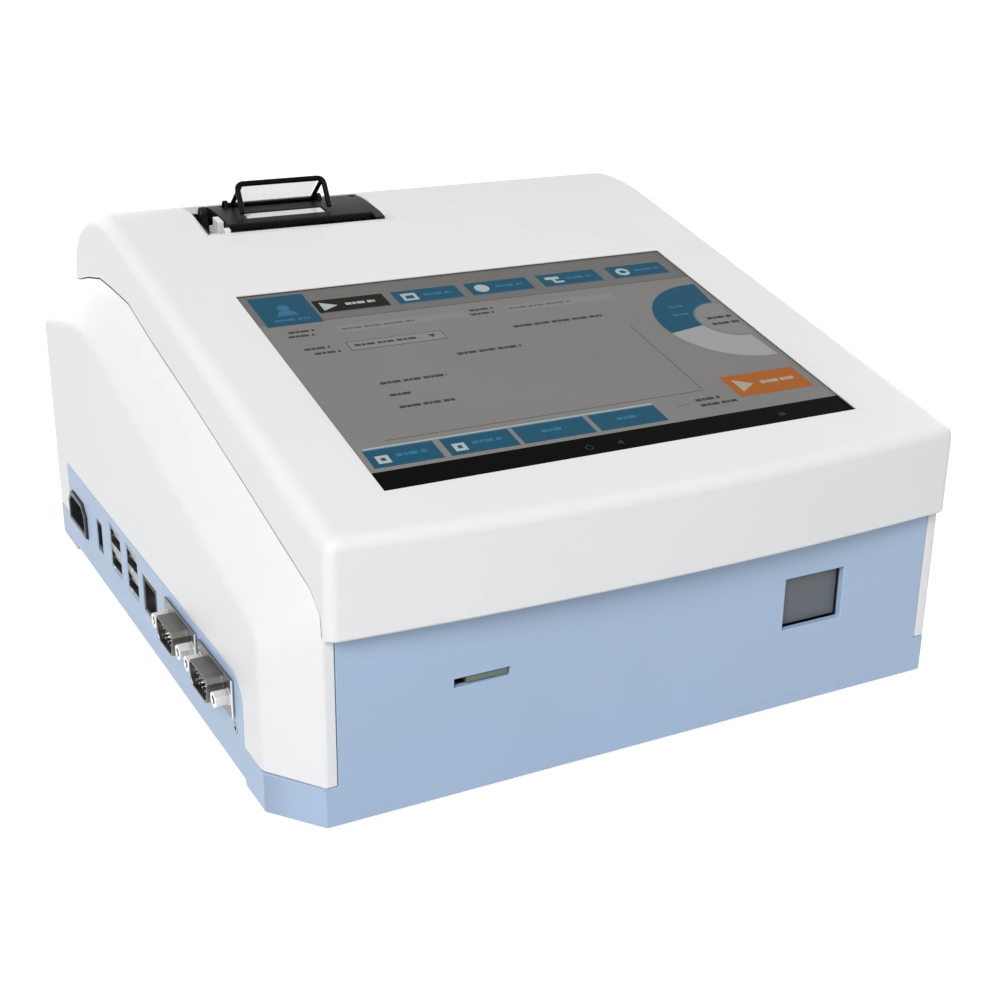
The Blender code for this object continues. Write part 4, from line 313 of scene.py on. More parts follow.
def soften(shape, width, segments=2, angle=38, chosen=None):
    """Rounds the sharp edges of a mesh, as a mould's cutter leaves them."""
    bmesh.ops.dissolve_limit(shape, angle_limit=math.radians(0.4), verts=shape.verts, edges=shape.edges)
    sharp = [edge for edge in shape.edges if len(edge.link_faces) == 2
             and edge.calc_face_angle(0) > math.radians(angle) and (chosen is None or chosen(edge))]
    bmesh.ops.bevel(shape, geom=sharp, offset=width, offset_type="OFFSET", segments=segments, profile=0.5,
                    affect="EDGES", clamp_overlap=False)
    return shape


def rectangle(low, high):
    return [(low[0], low[1]), (high[0], low[1]), (high[0], high[1]), (low[0], high[1])]


def prism(shape, outline, low, high, matrix=Matrix.Identity(4), material=0):
    """Adds a closed solid over a flat outline, from one height to another."""
    rings = [[shape.verts.new(matrix @ Vector((x, y, z))) for x, y in outline] for z in (low, high)]
    faces = [shape.faces.new(tuple(reversed(rings[0]))), shape.faces.new(rings[1])]
    count = len(outline)
    for i in range(count):
        j = (i + 1) % count
        faces.append(shape.faces.new((rings[0][i], rings[0][j], rings[1][j], rings[1][i])))
    for face in faces:
        face.material_index = material
    return faces


def flared(low, high, bottom, drop, flares, matrix):
    """A cutter that is straight up to a drop and opens out above it by its own flare on each side."""
    shape = bmesh.new()
    rings = []
    for height, spread in ((bottom, 0), (-drop, 0), (past, 1 + past / drop)):
        left, ahead, right, behind = (spread * flare for flare in flares)
        corners = rectangle((low[0] - left, low[1] - ahead), (high[0] + right, high[1] + behind))
        rings.append([shape.verts.new(matrix @ Vector((x, y, height))) for x, y in corners])
    shape.faces.new(tuple(reversed(rings[0])))
    shape.faces.new(rings[-1])
    for lower, upper in zip(rings, rings[1:]):
        for i in range(4):
            shape.faces.new((lower[i], lower[(i + 1) % 4], upper[(i + 1) % 4], upper[i]))
    return shape


def smooth_run(points, steps):
    """More points along a line of bends, on a smooth curve through all of them."""
    run = []
    for i in range(len(points) - 1):
        near = (max(0, min(len(points) - 1, k)) for k in range(i - 1, i + 3))
        before, start, end, after = (Vector(points[k]) for k in near)
        for step in range(steps):
            t = step / steps
            run.append(0.5 * (2 * start + (end - before) * t
                              + (2 * before - 5 * start + 4 * end - after) * t ** 2
                              + (3 * start - before - 3 * end + after) * t ** 3))
    return run + [Vector(points[-1])]


def cover_line(bow):
    """The cover's outer line from under the lip, over the crest and down to the rear edge."""
    front = -lip_depth - bow
    line = [Vector((-lip_seam, lip_bottom)), Vector((front, lip_bottom)),
            Vector((front, lip_top - slope * bow))]
    over = [(y * depth, z * crest) for y, z in crest_points] + [(depth, rear_edge)]
    return line + smooth_run([slope_end, *over], 2)


def offset(points, distance):
    """Moves an open line sideways to its left, with mitred corners."""
    spans = [Vector((a[1] - b[1], b[0] - a[0])).normalized() for a, b in zip(points, points[1:])]
    moved = []
    for index, point in enumerate(points):
        before, after = spans[max(0, index - 1)], spans[min(len(spans) - 1, index)]
        moved.append(Vector(point) + (before + after) * distance / (1 + before.dot(after)))
    return moved


def ribbon_lines():
    """Inner and outer line of the side panels' chamfered ribbon, from the front foot to the rear."""
    inner = [(0, shell_bottom), (0, lip_bottom - fit),
             (0.002 * depth, lip_bottom + 0.22 * (lip_top - lip_bottom))]
    outer = [(0.069 * depth, shell_bottom), (0.071 * depth, 0.3544 * crest), (0.0715 * depth, 0.3878 * crest)]
    inner += [(y * depth, z * crest) for y, z, _, _ in ribbon_points]
    outer += [(y * depth, z * crest) for _, _, y, z in ribbon_points]
    return inner, outer


def moulded_sheet(edge_round, segments):
    """Steps that round the marked edges of an open skin and give it the housing's wall."""
    return (("BEVEL", {"limit_method": "WEIGHT", "width": edge_round, "segments": segments}),
            ("SOLIDIFY", {"thickness": wall_thickness, "offset": -1, "use_even_offset": True,
                          "use_quality_normals": True}))


def cutting(tool):
    return ("BOOLEAN", {"operation": "DIFFERENCE", "object": tool})


white_plastic = plastic("white_housing", (0.80, 0.80, 0.81), 0.38, shade=0.025, dulling=0.10, grain=1900.0,
                        depth_mm=0.012)
cover = bmesh.new()
columns = []
for column in range(bow_columns + 1):
    share = 2 * column / bow_columns - 1
    line = cover_line(lip_bow * (1 - share ** 2))
    columns.append([cover.verts.new(Vector((share * front_half_width, y, z)) + case_at) for y, z in line])
for left, right in zip(columns, columns[1:]):
    for j in range(len(left) - 1):
        cover.faces.new((left[j], right[j], right[j + 1], left[j + 1]))
hem = offset(ribbon_lines()[0][1:], fit)[1:-1]
for side, column in ((-1, columns[0]), (1, columns[-1])):
    lower = [cover.verts.new(Vector((side * front_half_width, y, z)) + case_at) for y, z in reversed(hem)]
    face = (*column, *lower)
    cover.faces.new(face if side < 0 else tuple(reversed(face)))
weight = cover.edges.layers.float.new("bevel_weight_edge")
for column in (columns[0], columns[-1]):
    for j in range(1, len(column) - 1):
        cover.edges.get((column[j], column[j + 1]))[weight] = lip_round / cover_round if j == 1 else 1
for left, right in zip(columns, columns[1:]):
    cover.edges.get((left[2], right[2]))[weight] = lip_round / cover_round
low, high = (-window_half, window_start), (window_half, window_start + window_length)
window = flared(low, high, -wall_thickness - past, window_drop, 4 * [window_bevel], screen_frame)
margin = 0.0046
rebate = bmesh.new()
prism(rebate, rectangle((low[0] - margin, low[1] - margin), (high[0] + margin, high[1] + margin)),
      -wall_thickness - past, -glass_drop + fit, screen_frame)
left, right = printer_x - opening_left, printer_x + opening_right
front, rear = hinge_y - opening_front, hinge_y + opening_rear
hole = bmesh.new()
prism(hole, rectangle((left, front), (right, rear)), crest - 0.04, crest + past, Matrix.Translation(case_at))
along = math.cos(math.atan(slope))
lead_in = flared((left, (front + lip_depth) / along), (right, (hinge_y + lip_depth) / along),
                 -opening_drop - fit, opening_drop, opening_flares, screen_frame)
cover = shaped(cover, *moulded_sheet(cover_round, 6), cutting(window), cutting(rebate), cutting(hole))
under_lip = lip_bottom + case_at.z + fit
soften(cover, 0.0011, 4, 60, lambda edge: max(v.co.z for v in edge.verts) < under_lip
       and max(v.co.y for v in edge.verts) < case_at.y - lip_depth / 2)
soften(cover, 0.00025, 2, 50, lambda edge: min(v.co.z for v in edge.verts) > under_lip)
cover = shaped(cover, cutting(lead_in))
add_piece("cover_moulding", cover, "root", white_plastic, ("top_cover",), 30)

# The two white side panels: a flat wall with a chamfered ribbon along its top and front, moulded in one with
# the narrow strip beside the blue front. The left one is cut out around the port wall.
shell_edge, front_strip = 0.0015, 0.0035
port_start, port_end, port_top, port_corner = 0.0315, 0.2305, 0.034, 0.008


def arc(centre, radius, start, end, steps):
    turns = [math.radians(start + (end - start) * step / steps) for step in range(steps + 1)]
    return [(centre[0] + radius * math.cos(turn), centre[1] + radius * math.sin(turn)) for turn in turns]


def side_panel(side):
    inner, outer = ribbon_lines()
    at = lambda x, y, z: Vector((side * x, y, z)) + case_at
    shape = bmesh.new()
    near = [shape.verts.new(at(front_half_width, *place)) for place in inner]
    far = [shape.verts.new(at(half_width, *place)) for place in outer]
    sill = shape.verts.new(at(half_width, depth, shell_bottom))
    strip = [shape.verts.new(at(front_half_width - front_strip, *place)) for place in inner[:2]]
    faces = [(near[i], far[i], far[i + 1], near[i + 1]) for i in range(len(near) - 1)]
    faces += [(far[0], sill, *reversed(far[1:])), (strip[0], near[0], near[1], strip[1])]
    for face in faces:
        shape.faces.new(face if side > 0 else tuple(reversed(face)))
    weight = shape.edges.layers.float.new("bevel_weight_edge")
    for start, end in zip(far, far[1:]):
        shape.edges.get((start, end))[weight] = 1
    shape.edges.get((near[0], near[1]))[weight] = 0.6
    steps = [*moulded_sheet(shell_edge, 5)]
    if side < 0:
        start, end, top, corner = port_start - fit, port_end + fit, port_top + fit, port_corner + fit
        outline = [(start, shell_bottom - past), (end, shell_bottom - past), (end, top),
                   *arc((start + corner, top - corner), corner, 90, 180, 10)]
        notch = bmesh.new()
        prism(notch, outline, -half_width - past, -half_width + wall_thickness + past,
              Matrix.Translation(case_at) @ Matrix(((0, 0, 1), (1, 0, 0), (0, 1, 0))).to_4x4())
        steps.append(cutting(notch))
    return soften(shaped(shape, *steps), 0.0003, 2, 50)


for name, side in (("left", -1), ("right", 1)):
    add_piece(f"{name}_side_panel", side_panel(side), "root", white_plastic,
              (f"{name}_side_shell",), 30)

# The blue tray that carries everything: floor and skirt, the front wall with the cartridge bay and the chip
# slot, and the port wall on the left. The same plastic as the cover, coloured through.
blue_plastic = plastic("blue_tray", (0.376, 0.497, 0.672), 0.42, shade=0.03, dulling=0.10, grain=1900.0,
                       depth_mm=0.012)


def copied(node, width=0.0, segments=2, angle=38, chosen=None):
    """A node's own shape with its mould edges rounded."""
    shape = bmesh.new()
    shape.from_mesh(frame["nodes"][node].data)
    bmesh.ops.remove_doubles(shape, verts=shape.verts, dist=0.000002)
    return soften(shape, width, segments, angle, chosen) if width else shape


add_piece("tray_moulding", copied("base_tray", 0.0003, 2, 50), "root", blue_plastic,
          ("base_tray",), 35)

# The touch panel: dark-edged glass over a lit display that shows a measuring page of plain tiles, a gauge and
# grey bars where words would be. The picture stands on the glass in thin layers.
picture_layer = 0.00003
picture_colours = {
    "page": (0.226, 0.222, 0.213), "band": (0.172, 0.169, 0.160), "navigation": (0.002, 0.002, 0.002),
    "tile": (0.020, 0.092, 0.152), "tile_dark": (0.018, 0.017, 0.014), "tile_light": (0.045, 0.165, 0.285),
    "pale": (0.42, 0.47, 0.48), "ink": (0.060, 0.060, 0.060), "soft_ink": (0.13, 0.13, 0.125),
    "field": (0.250, 0.245, 0.235), "orange": (0.40, 0.125, 0.030), "cream": (0.42, 0.37, 0.28),
    "arc_grey": (0.36, 0.37, 0.37), "sign": (0.035, 0.035, 0.035), "glass_edge": (0.14, 0.135, 0.13),
}


def lit_screen(name, colour):
    """One colour of the display behind matt anti-glare glass, with a faint cloudy change of shade and a fine
    grain.
    """
    material, tree, shader = new_material(f"screen_{name}")
    skin = add_node(tree, "Group", {"Colour": (*colour, 1), "Shade change": 0.07, "Roughness": 0.24,
                                    "Roughness change": 0.16, "Grain scale": 2600.0},
                    node_tree=moulding).outputs
    feed(tree, shader, {"Specular IOR Level": 0.015, "IOR": 1.4, "Base Color": skin["Colour"],
                        "Roughness": skin["Roughness"]})
    return material


picture_names = list(picture_colours)
picture_materials = [lit_screen(name, colour) for name, colour in picture_colours.items()]
panel = bmesh.new()
face = -glass_drop
prism(panel, rectangle((low[0] - 0.0043, low[1] - 0.0043), (high[0] + 0.0043, high[1] + 0.0043)),
      face - 0.0015, face, screen_frame, picture_names.index("glass_edge"))


def show(colour, outline, layer=1):
    """Lays one flat shape of the picture on the glass; places are in millimetres on it."""
    mm = [(x / 1000, y / 1000) for x, y in outline]
    prism(panel, mm, face - picture_layer, face + layer * picture_layer, screen_frame,
          picture_names.index(colour))


def block(colour, x, y, far_x, far_y, layer=2):
    show(colour, rectangle((x, y), (far_x, far_y)), layer)


def words(colour, x, y, length, tall=1.1, layer=3):
    """A row of short bars, like a line of print seen from too far to read."""
    pattern = (2.1, 1.2, 2.8, 1.7, 0.9, 2.4)
    at, number = x, 0
    while at < x + length:
        run = min(pattern[number % len(pattern)], x + length - at)
        block(colour, at, y, at + run, y + tall, layer)
        at += run + (1.0 if number % 3 == 2 else 0.35)
        number += 1


def ring(colour, centre, inside, outside, start, end, layer=2, right_edge=81.6):
    """Part of a ring, cut off at the right edge of the picture."""
    steps = max(4, int(abs(end - start) / 6))
    outline = arc(centre, outside, start, end, steps) + arc(centre, inside, end, start, steps)
    show(colour, [(min(x, right_edge), y) for x, y in outline], layer)


block("page", -81.7, 19.0, 81.7, 139.4, 1)
block("band", -81.7, 118.4, 81.7, 139.4)
block("soft_ink", -59.4, 118.1, 81.7, 118.5, 3)
block("navigation", -81.7, 19.0, 81.7, 29.2)
block("tile", -78.6, 117.5, -59.6, 137.6, 4)
show("tile_light", arc((-69.2, 129.2), 2.1, 0, 330, 11), 5)
show("tile_light", [(-73.0, 123.8), (-65.4, 123.8), (-67.0, 127.2), (-71.4, 127.2)], 5)
words("tile_light", -75.0, 120.2, 12.0, 1.3, 5)
header = ((-58.6, -33.4, "tile_dark"), (-30.2, -6.1, "tile"), (-2.7, 21.3, "tile"), (25.5, 49.3, "tile"),
          (54.0, 77.0, "tile"))
for number, (x, far_x, colour) in enumerate(header):
    block(colour, x, 122.5, far_x, 131.6, 3)
    block("tile_light" if number else "soft_ink", x, 122.5, far_x, 122.9, 4)
    words("tile_light" if number else "pale", x + 10.5, 126.4, 10.5, 1.5, 5)
show("pale", [(-56.6, 124.2), (-50.9, 127.0), (-56.6, 129.9)], 5)
block("pale", -27.6, 124.4, -22.2, 129.4, 5)
block("tile", -26.4, 125.6, -23.4, 127.8, 6)
show("pale", arc((2.4, 127.0), 2.7, 0, 340, 17), 5)
block("pale", 28.0, 127.4, 33.4, 129.2, 5)
block("pale", 30.2, 124.6, 31.3, 127.6, 5)
block("pale", 31.2, 124.6, 34.2, 125.8, 5)
ring("pale", (59.3, 127.0), 1.2, 2.7, 0, 350, 5)
for row, (x, y) in enumerate(((-73.6, 112.0), (-74.6, 109.2), (-9.4, 112.2), (-10.2, 109.4), (-72.8, 100.3),
                              (-70.6, 97.0))):
    words("ink", x, y, 8.6)
for x, length in ((-57.5, 46.0), (3.0, 43.0)):
    block("field", x, 108.6, x + length, 113.2)
    words("soft_ink", x + 1.5, 110.4, length * 0.55, 1.0)
block("soft_ink", -58.6, 96.6, -25.0, 102.4)
block("field", -58.2, 97.0, -25.4, 102.0, 3)
words("ink", -56.4, 99.0, 22.0, 1.2, 4)
show("ink", [(-30.6, 100.6), (-28.0, 100.6), (-29.3, 98.6)], 4)
for x, y, length in ((0.0, 98.0, 34.0), (-26.8, 85.6, 23.0), (-58.4, 74.4, 22.5), (-58.4, 67.0, 7.0),
                     (-58.4, 59.8, 18.5), (33.5, 38.4, 9.0), (33.5, 35.2, 14.0)):
    words("ink", x, y, length, 1.3)
block("soft_ink", 25.5, 37.6, 29.6, 37.9)
block("soft_ink", 39.6, 45.0, 40.0, 89.2)
block("soft_ink", -70.4, 44.0, 40.0, 44.35)
block("pale", -78.6, 40.9, 18.4, 41.5, 3)
for number, (x, far_x) in enumerate(((-79.2, -57.4), (-55.1, -32.9), (-31.4, -7.1), (-5.3, 18.4))):
    block("tile", x, 31.1, far_x, 40.5, 3)
    block("tile_light", x, 40.1, far_x, 40.5, 4)
    if number < 2:
        block("pale", x + 2.2, 32.9, x + 6.2, 36.9, 5)
        block("tile", x + 3.5, 34.1, x + 4.9, 35.7, 6)
        words("tile_light", x + 8.6, 35.2, 10.0, 1.5, 5)
    else:
        words("tile_light", x + 8.0, 35.2, 8.0, 1.5, 5)
gauge = (77.5, 85.4)
ring("tile", gauge, 12.4, 26.7, 84, 190, 3)
ring("arc_grey", gauge, 12.4, 26.7, 190, 274, 3)
ring("field", gauge, 0.5, 11.4, 60, 300, 3)
ring("tile_light", gauge, 12.1, 12.5, 84, 190, 4)
words("ink", 69.6, 86.4, 10.0, 1.4, 5)
words("ink", 69.2, 82.2, 11.0, 1.4, 5)
words("tile_light", 60.5, 97.0, 5.5, 1.3, 5)
words("tile_light", 58.6, 91.4, 6.5, 1.3, 5)
block("orange", 49.6, 36.9, 78.3, 49.8, 3)
show("cream", [(52.4, 39.6), (58.8, 43.4), (52.4, 47.2)], 5)
words("cream", 61.6, 42.6, 13.0, 1.7, 5)
ring("sign", (-14.0, 23.8), 0.9, 1.3, 0, 350, 5)
show("sign", [(-2.4, 22.6), (-2.4, 25.0), (-4.6, 23.8)], 5)
block("sign", 55.0, 23.2, 57.4, 24.9, 5)
add_piece("touch_panel", panel, "root", picture_materials, ("touch_glass",))

# Behind the glass: a die-cut foam gasket, the display module, black, with a frame sunk into its broad faces,
# and the bracket, bent from galvanised sheet, that holds the stack to the cover.


def worked_metal():
    """Shared effect: drawn or rolled lines, cloudy tarnish and dulled patches on metal."""
    tree, given, made = shared_effect("worked_metal", (
        ("Colour", "Color"), ("Tarnish", "Float"), ("Roughness", "Float"), ("Roughness change", "Float"),
        ("Lines per metre", "Vector")), surface_made)
    place = add_node(tree, "TexCoord").outputs["Object"]
    stretched = add_node(tree, "VectorMath", {0: place, 1: given["Lines per metre"]}, operation="MULTIPLY")
    lines, clouds = (
        add_node(tree, "TexNoise", {"Scale": scale, "Detail": detail, "Vector": along}).outputs["Fac"]
        for scale, detail, along in ((1.0, 3.0, stretched.outputs[0]), (240.0, 4.0, place)))
    darker = add_node(tree, "Math", {0: clouds, 1: given["Tarnish"]}, operation="MULTIPLY")
    kept = add_node(tree, "Math", {0: 1.0, 1: darker.outputs[0]}, operation="SUBTRACT")
    finish_surface(tree, given, made, kept.outputs[0], lines, lines)
    return tree


working = worked_metal()


def metal(name, colour, roughness, lines=(300, 6000, 6000), tarnish=0.2, change=0.3, depth_mm=0.006):
    """A bare or plated metal with its own colour, gloss and direction of working."""
    material, tree, shader = new_material(name)
    skin = add_node(tree, "Group", {"Colour": (*colour, 1), "Tarnish": tarnish, "Roughness": roughness,
                                    "Roughness change": change, "Lines per metre": lines},
                    node_tree=working).outputs
    bump = add_node(tree, "Bump", {"Distance": depth_mm / 1000, "Strength": 0.5, "Height": skin["Height"]})
    feed(tree, shader, {"Metallic": 1.0, "Normal": bump.outputs["Normal"], "Roughness": skin["Roughness"],
                        "Base Color": skin["Colour"]})
    return material


foam = plastic("foam_rubber", (0.022, 0.022, 0.024), 0.9, shade=0.3, grain=900.0, depth_mm=0.12, specular=0.2)
steel = metal("bright_steel", (0.56, 0.56, 0.57), 0.28)
sheet_steel = metal("galvanised_sheet", (0.58, 0.59, 0.60), 0.38, lines=(900, 900, 900), tarnish=0.35,
                    change=0.5)
black_plastic = plastic("black_housing", (0.016, 0.016, 0.018), 0.36, shade=0.2, dulling=0.18, grain=1300.0,
                        depth_mm=0.02, wear_and_sheen=0.25, wear_and_sheen_colour=(0.10, 0.10, 0.105))
add_piece("foam_gasket", copied("screen_gasket", 0.0001, 1), "root", foam, ("screen_gasket",))
module = copied("lcd_module", 0.0005, 3)
frame_inset, frame_sink = 0.0042, 0.0003
broad = sorted(module.faces, key=lambda face: -face.calc_area())[:2]
for face in broad:
    bmesh.ops.inset_region(module, faces=[face], thickness=frame_inset, depth=0)
    bmesh.ops.inset_region(module, faces=[face], thickness=frame_sink, depth=-frame_sink)
add_piece("display_module", module, "root", black_plastic, ("lcd_module",))
add_piece("display_bracket", copied("lcd_bracket", 0.0003, 2), "root", sheet_steel,
          ("lcd_bracket",))

# Four rubber feet with a rolled rim and a dished sole, stuck under the floor. The weight stands on the rims.
rubber = plastic("foot_rubber", (0.028, 0.028, 0.030), 0.8, shade=0.25, grain=700.0, depth_mm=0.06,
                 specular=0.25)


def turned(shape, profile, start, direction, segments=48, material=0, hollow=False):
    """Adds a turned solid: pairs of distance along the axis and radius. A hollow one closes on itself."""
    spin = Vector(direction).to_track_quat("Z", "Y").to_matrix()
    rings = []
    for along, radius in profile:
        count = segments if radius else 1
        turns = (2 * math.pi * k / segments for k in range(count))
        places = (Vector((radius * math.cos(t), radius * math.sin(t), along)) for t in turns)
        rings.append([shape.verts.new(Vector(start) + spin @ place) for place in places])
    faces = []
    for lower, upper in list(zip(rings, rings[1:])) + ([(rings[-1], rings[0])] if hollow else []):
        for k in range(segments):
            following = (k + 1) % segments
            corners = (lower[k % len(lower)], lower[following % len(lower)], upper[following % len(upper)],
                       upper[k % len(upper)])
            corners = list(dict.fromkeys(corners))
            if len(corners) > 2:
                faces.append(shape.faces.new(corners))
    if not hollow:
        faces += [shape.faces.new(ring) for ring in (rings[0], rings[-1]) if len(ring) > 1]
    for face in faces:
        face.material_index = material
    return shape


def middle_of(node):
    """Middle of a node's box, and half its size each way."""
    low_corner, high_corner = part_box(node)
    return (low_corner + high_corner) / 2, (high_corner - low_corner) / 2


for place in ("front_left", "front_right", "rear_left", "rear_right"):
    middle, half = middle_of(f"foot_{place}")
    radius, height, rim, dish = half.x, 2 * half.z, 0.0012, 0.0004
    outline = [(dish, 0), (dish, radius - 2.2 * rim), (dish / 3, radius - 1.6 * rim), (0, radius - 1.1 * rim),
               (dish / 3, radius - rim / 2), (rim, radius), (height - dish, radius), (height, radius - dish),
               (height, 0)]
    foot = turned(bmesh.new(), outline, middle - Vector((0, 0, half.z)), (0, 0, 1))
    add_piece(f"rubber_foot_{place}", foot, "root", rubber, (f"foot_{place}",))

# Nickel-plated pan head screws with a cross recess: four hold the case from below, two the rear panel, and a
# small sunk one the port wall.
# Darker than bright plating: the base colour holds a painted dark reflection in place of dark surroundings.
nickel = metal("nickel_plate", (0.40, 0.385, 0.36), 0.22, lines=(2500, 2500, 2500), tarnish=0.25, change=0.25)
thread_pitch, thread_depth = 0.001, 0.0003
cross_width, cross_length_share, cross_depth_share = 0.0007, 1.15, 0.65


def cross_recess(at, direction, length, depth_down):
    """The cutter of a cross recess: two crossed blades."""
    shape = bmesh.new()
    spin = Matrix.Translation(at) @ Vector(direction).to_track_quat("Z", "Y").to_matrix().to_4x4()
    for wide, long in ((cross_width, length), (length, cross_width)):
        prism(shape, rectangle((-wide / 2, -long / 2), (wide / 2, long / 2)), -past, depth_down, spin)
    return shape


def pan_screw(at, direction, radius, head, shank, length):
    """A screw that starts at the top of its head and runs along its direction."""
    outline = [(0, 0), (0, 0.5 * radius), (0.10 * head, 0.78 * radius), (0.35 * head, 0.95 * radius),
               (0.7 * head, radius), (head, radius), (head, shank)]
    along = head + thread_pitch
    while along < head + length - thread_pitch:
        outline += [(along - thread_pitch / 2, shank - thread_depth), (along, shank)]
        along += thread_pitch
    outline += [(head + length - thread_pitch / 2, shank - thread_depth), (head + length, 0)]
    body = turned(bmesh.new(), outline, at, direction, 28)
    recess = cross_recess(at, direction, cross_length_share * radius, cross_depth_share * head)
    return shaped(body, ("BOOLEAN", {"operation": "DIFFERENCE", "object": recess, "use_self": True}))


screw_radius, screw_head, screw_shank = 0.0031, 0.0014, 0.0015
for place in ("front_left", "front_right", "rear_left", "rear_right"):
    middle, half = middle_of(f"case_screw_{place}")
    body = pan_screw(middle - Vector((0, 0, half.z)), (0, 0, 1), screw_radius, screw_head, screw_shank,
                     2 * half.z - screw_head)
    add_piece(f"pan_screw_{place}", body, "root", nickel, (f"case_screw_{place}",))
for side in ("left", "right"):
    middle, half = middle_of(f"rear_screw_{side}")
    body = pan_screw(middle + Vector((0, half.y, 0)), (0, -1, 0), screw_radius, screw_head, screw_shank,
                     2 * half.y - screw_head)
    add_piece(f"panel_screw_{side}", body, "root", nickel, (f"rear_screw_{side}",))
middle, half = middle_of("port_screw")
at = middle - Vector((half.x, 0, 0))
sunk = turned(bmesh.new(), [(0, 0), (0, 0.85 * half.y), (0.0001, half.y), (2 * half.x - 0.0006, half.y),
                            (2 * half.x, 0.5 * half.y), (2 * half.x, 0)], at, (1, 0, 0), 28)
recess = cross_recess(at, (1, 0, 0), 1.2 * half.y, 0.0006)
sunk = shaped(sunk, ("BOOLEAN", {"operation": "DIFFERENCE", "object": recess, "use_self": True}))
add_piece("sunk_port_screw", sunk, "root", nickel, ("port_screw",))

# The white rear panel: moulded flat, with seven vent slots, sunk screw holes and a hole for the mains switch,
# held by the two screws.
add_piece("vented_rear_panel", copied("rear_panel", 0.0004, 2, 50), "root", white_plastic,
          ("rear_panel",))

# The mains switch: a black snap-in body and a rocker with the usual I and O, pad printed in white.
add_piece("switch_housing", copied("power_switch_body", 0.0004, 3, 50), "root",
          black_plastic, ("power_switch_body",))
print_white = plastic("printed_white", (0.75, 0.75, 0.74), 0.5, shade=0.1, grain=2500.0, depth_mm=0.01)
rocker = copied("power_rocker", 0.0002, 3, 30)
joint_at = {joint["name"]: Vector(joint.get("pos_m") or (0, 0, 0)) for joint in frame["joints"]}
tilt = Matrix.Rotation(math.radians(8), 3, "X")
rocker_face, rocker_rise, ink_height = 0.0032, 0.0051, 0.00006
print_bar, print_ring, print_stroke = (0.0005, 0.0032), 0.0015, 0.0004
for way in (1, -1):
    up = tilt @ Vector((0, way * rocker_face / 2, rocker_rise)).normalized()
    out = up.cross(Vector((1, 0, 0)))
    centre = joint_at["rocker_tip"] + tilt @ Vector((0, 0.75 * rocker_face, way * rocker_rise / 2))
    plane = Matrix((-Vector((1, 0, 0)), up, out)).transposed().to_4x4()
    plane.translation = centre
    if way > 0:
        wide, tall = print_bar
        bar = rectangle((-wide / 2, -tall / 2), (wide / 2, tall / 2))
        prism(rocker, bar, -ink_height, ink_height, plane, 1)
    else:
        ring_line = [(-ink_height, print_ring - print_stroke), (-ink_height, print_ring),
                     (ink_height, print_ring), (ink_height, print_ring - print_stroke)]
        turned(rocker, ring_line, centre, out, 32, 1, True)
add_piece("printed_rocker", rocker, "rocker", (black_plastic, print_white),
          ("power_rocker",))

# The printer's bucket, moulded in black with ears for the hinge, an idler pin and a shaft hole; the hinge rod
# is ground steel with chamfered ends.
bucket_plastic = plastic("bucket_plastic", (0.012, 0.012, 0.013), 0.5, shade=0.2, dulling=0.2, grain=1500.0,
                         depth_mm=0.02, specular=0.14)
deck_start = case_at.x - 0.0115
bucket = copied("printer_frame", 0.0002, 2, 50, lambda edge: max(v.co.x for v in edge.verts) < deck_start)
add_piece("printer_bucket", bucket, "root", bucket_plastic, ("printer_frame",))


def ground_rod(node, direction, chamfer=0.0002, segments=32):
    """A rod through a node's box with chamfered ends."""
    middle, half = middle_of(node)
    direction = Vector(direction)
    reach = abs(half.dot(direction))
    radius = min(value for value in half)
    outline = [(0, 0), (0, radius - chamfer), (chamfer, radius), (2 * reach - chamfer, radius),
               (2 * reach, radius - chamfer), (2 * reach, 0)]
    return turned(bmesh.new(), outline, middle - direction * reach, direction, segments)


add_piece("ground_hinge_rod", ground_rod("door_hinge_rod", (1, 0, 0)), "root", steel,
          ("door_hinge_rod",))

# The printer's lid: black, curved like the crest, with two cheeks for the platen and a window. A milky pane,
# snapped in from below, shows how much paper is left. The mould left small rounds on every edge.
lid_plastic = plastic("lid_plastic", (0.006, 0.006, 0.0065), 0.42, shade=0.2, dulling=0.2, grain=1600.0,
                      depth_mm=0.012, wear_and_sheen=0.3, wear_and_sheen_colour=(0.06, 0.06, 0.062), specular=0.10)
add_piece("curved_lid", copied("printer_door", 0.0003, 3, 40), "lid", lid_plastic,
          ("printer_door",))

milky = plastic("milky_pane", (0.78, 0.78, 0.77), 0.22, shade=0.06, dulling=0.1, grain=700.0, depth_mm=0.006)
add_piece("milky_window", copied("door_pane", 0.0002, 3, 40), "lid", milky, ("door_pane",))

# The lid's wire bail: a black powder-coated hoop of two millimetre wire, two thinner legs welded behind it
# and the bar that turns in the lid's lugs. A clear sheet between the legs keeps the torn slip off the hinge.


def clear_plastic(name, tint, share, roughness):
    """A thin clear sheet: mostly see-through, with a faint tint, fine scratches and a glossy face."""
    material, tree, shader = new_material(name)
    place = add_node(tree, "TexCoord").outputs["Object"]
    dulling = add_node(tree, "TexNoise", {"Scale": 260.0, "Vector": place}).outputs["Fac"]
    gloss = add_node(tree, "MapRange", {"Value": dulling, "To Min": 0.7 * roughness,
                                        "To Max": 1.3 * roughness})
    bump = add_node(tree, "Bump", {"Distance": 0.000002, "Height": dulling})
    feed(tree, shader, {"Base Color": (*tint, 1), "Alpha": share, "Roughness": gloss.outputs[0],
                        "Normal": bump.outputs["Normal"]})
    return material


clear_sheet = clear_plastic("clear_sheet", (0.60, 0.61, 0.62), 0.24, 0.16)
wire_black = metal("coated_wire", (0.008, 0.008, 0.009), 0.45, lines=(1800, 1800, 1800), tarnish=0.3,
                   depth_mm=0.02)


def cover_height(y):
    """Height of the cover's outer line over a place behind the front wall."""
    line = cover_line(0)[2:]
    for start, end in zip(line, line[1:]):
        if start.x <= y <= end.x:
            return start.y + (end.y - start.y) * (y - start.x) / (end.x - start.x)
    return line[-1].y


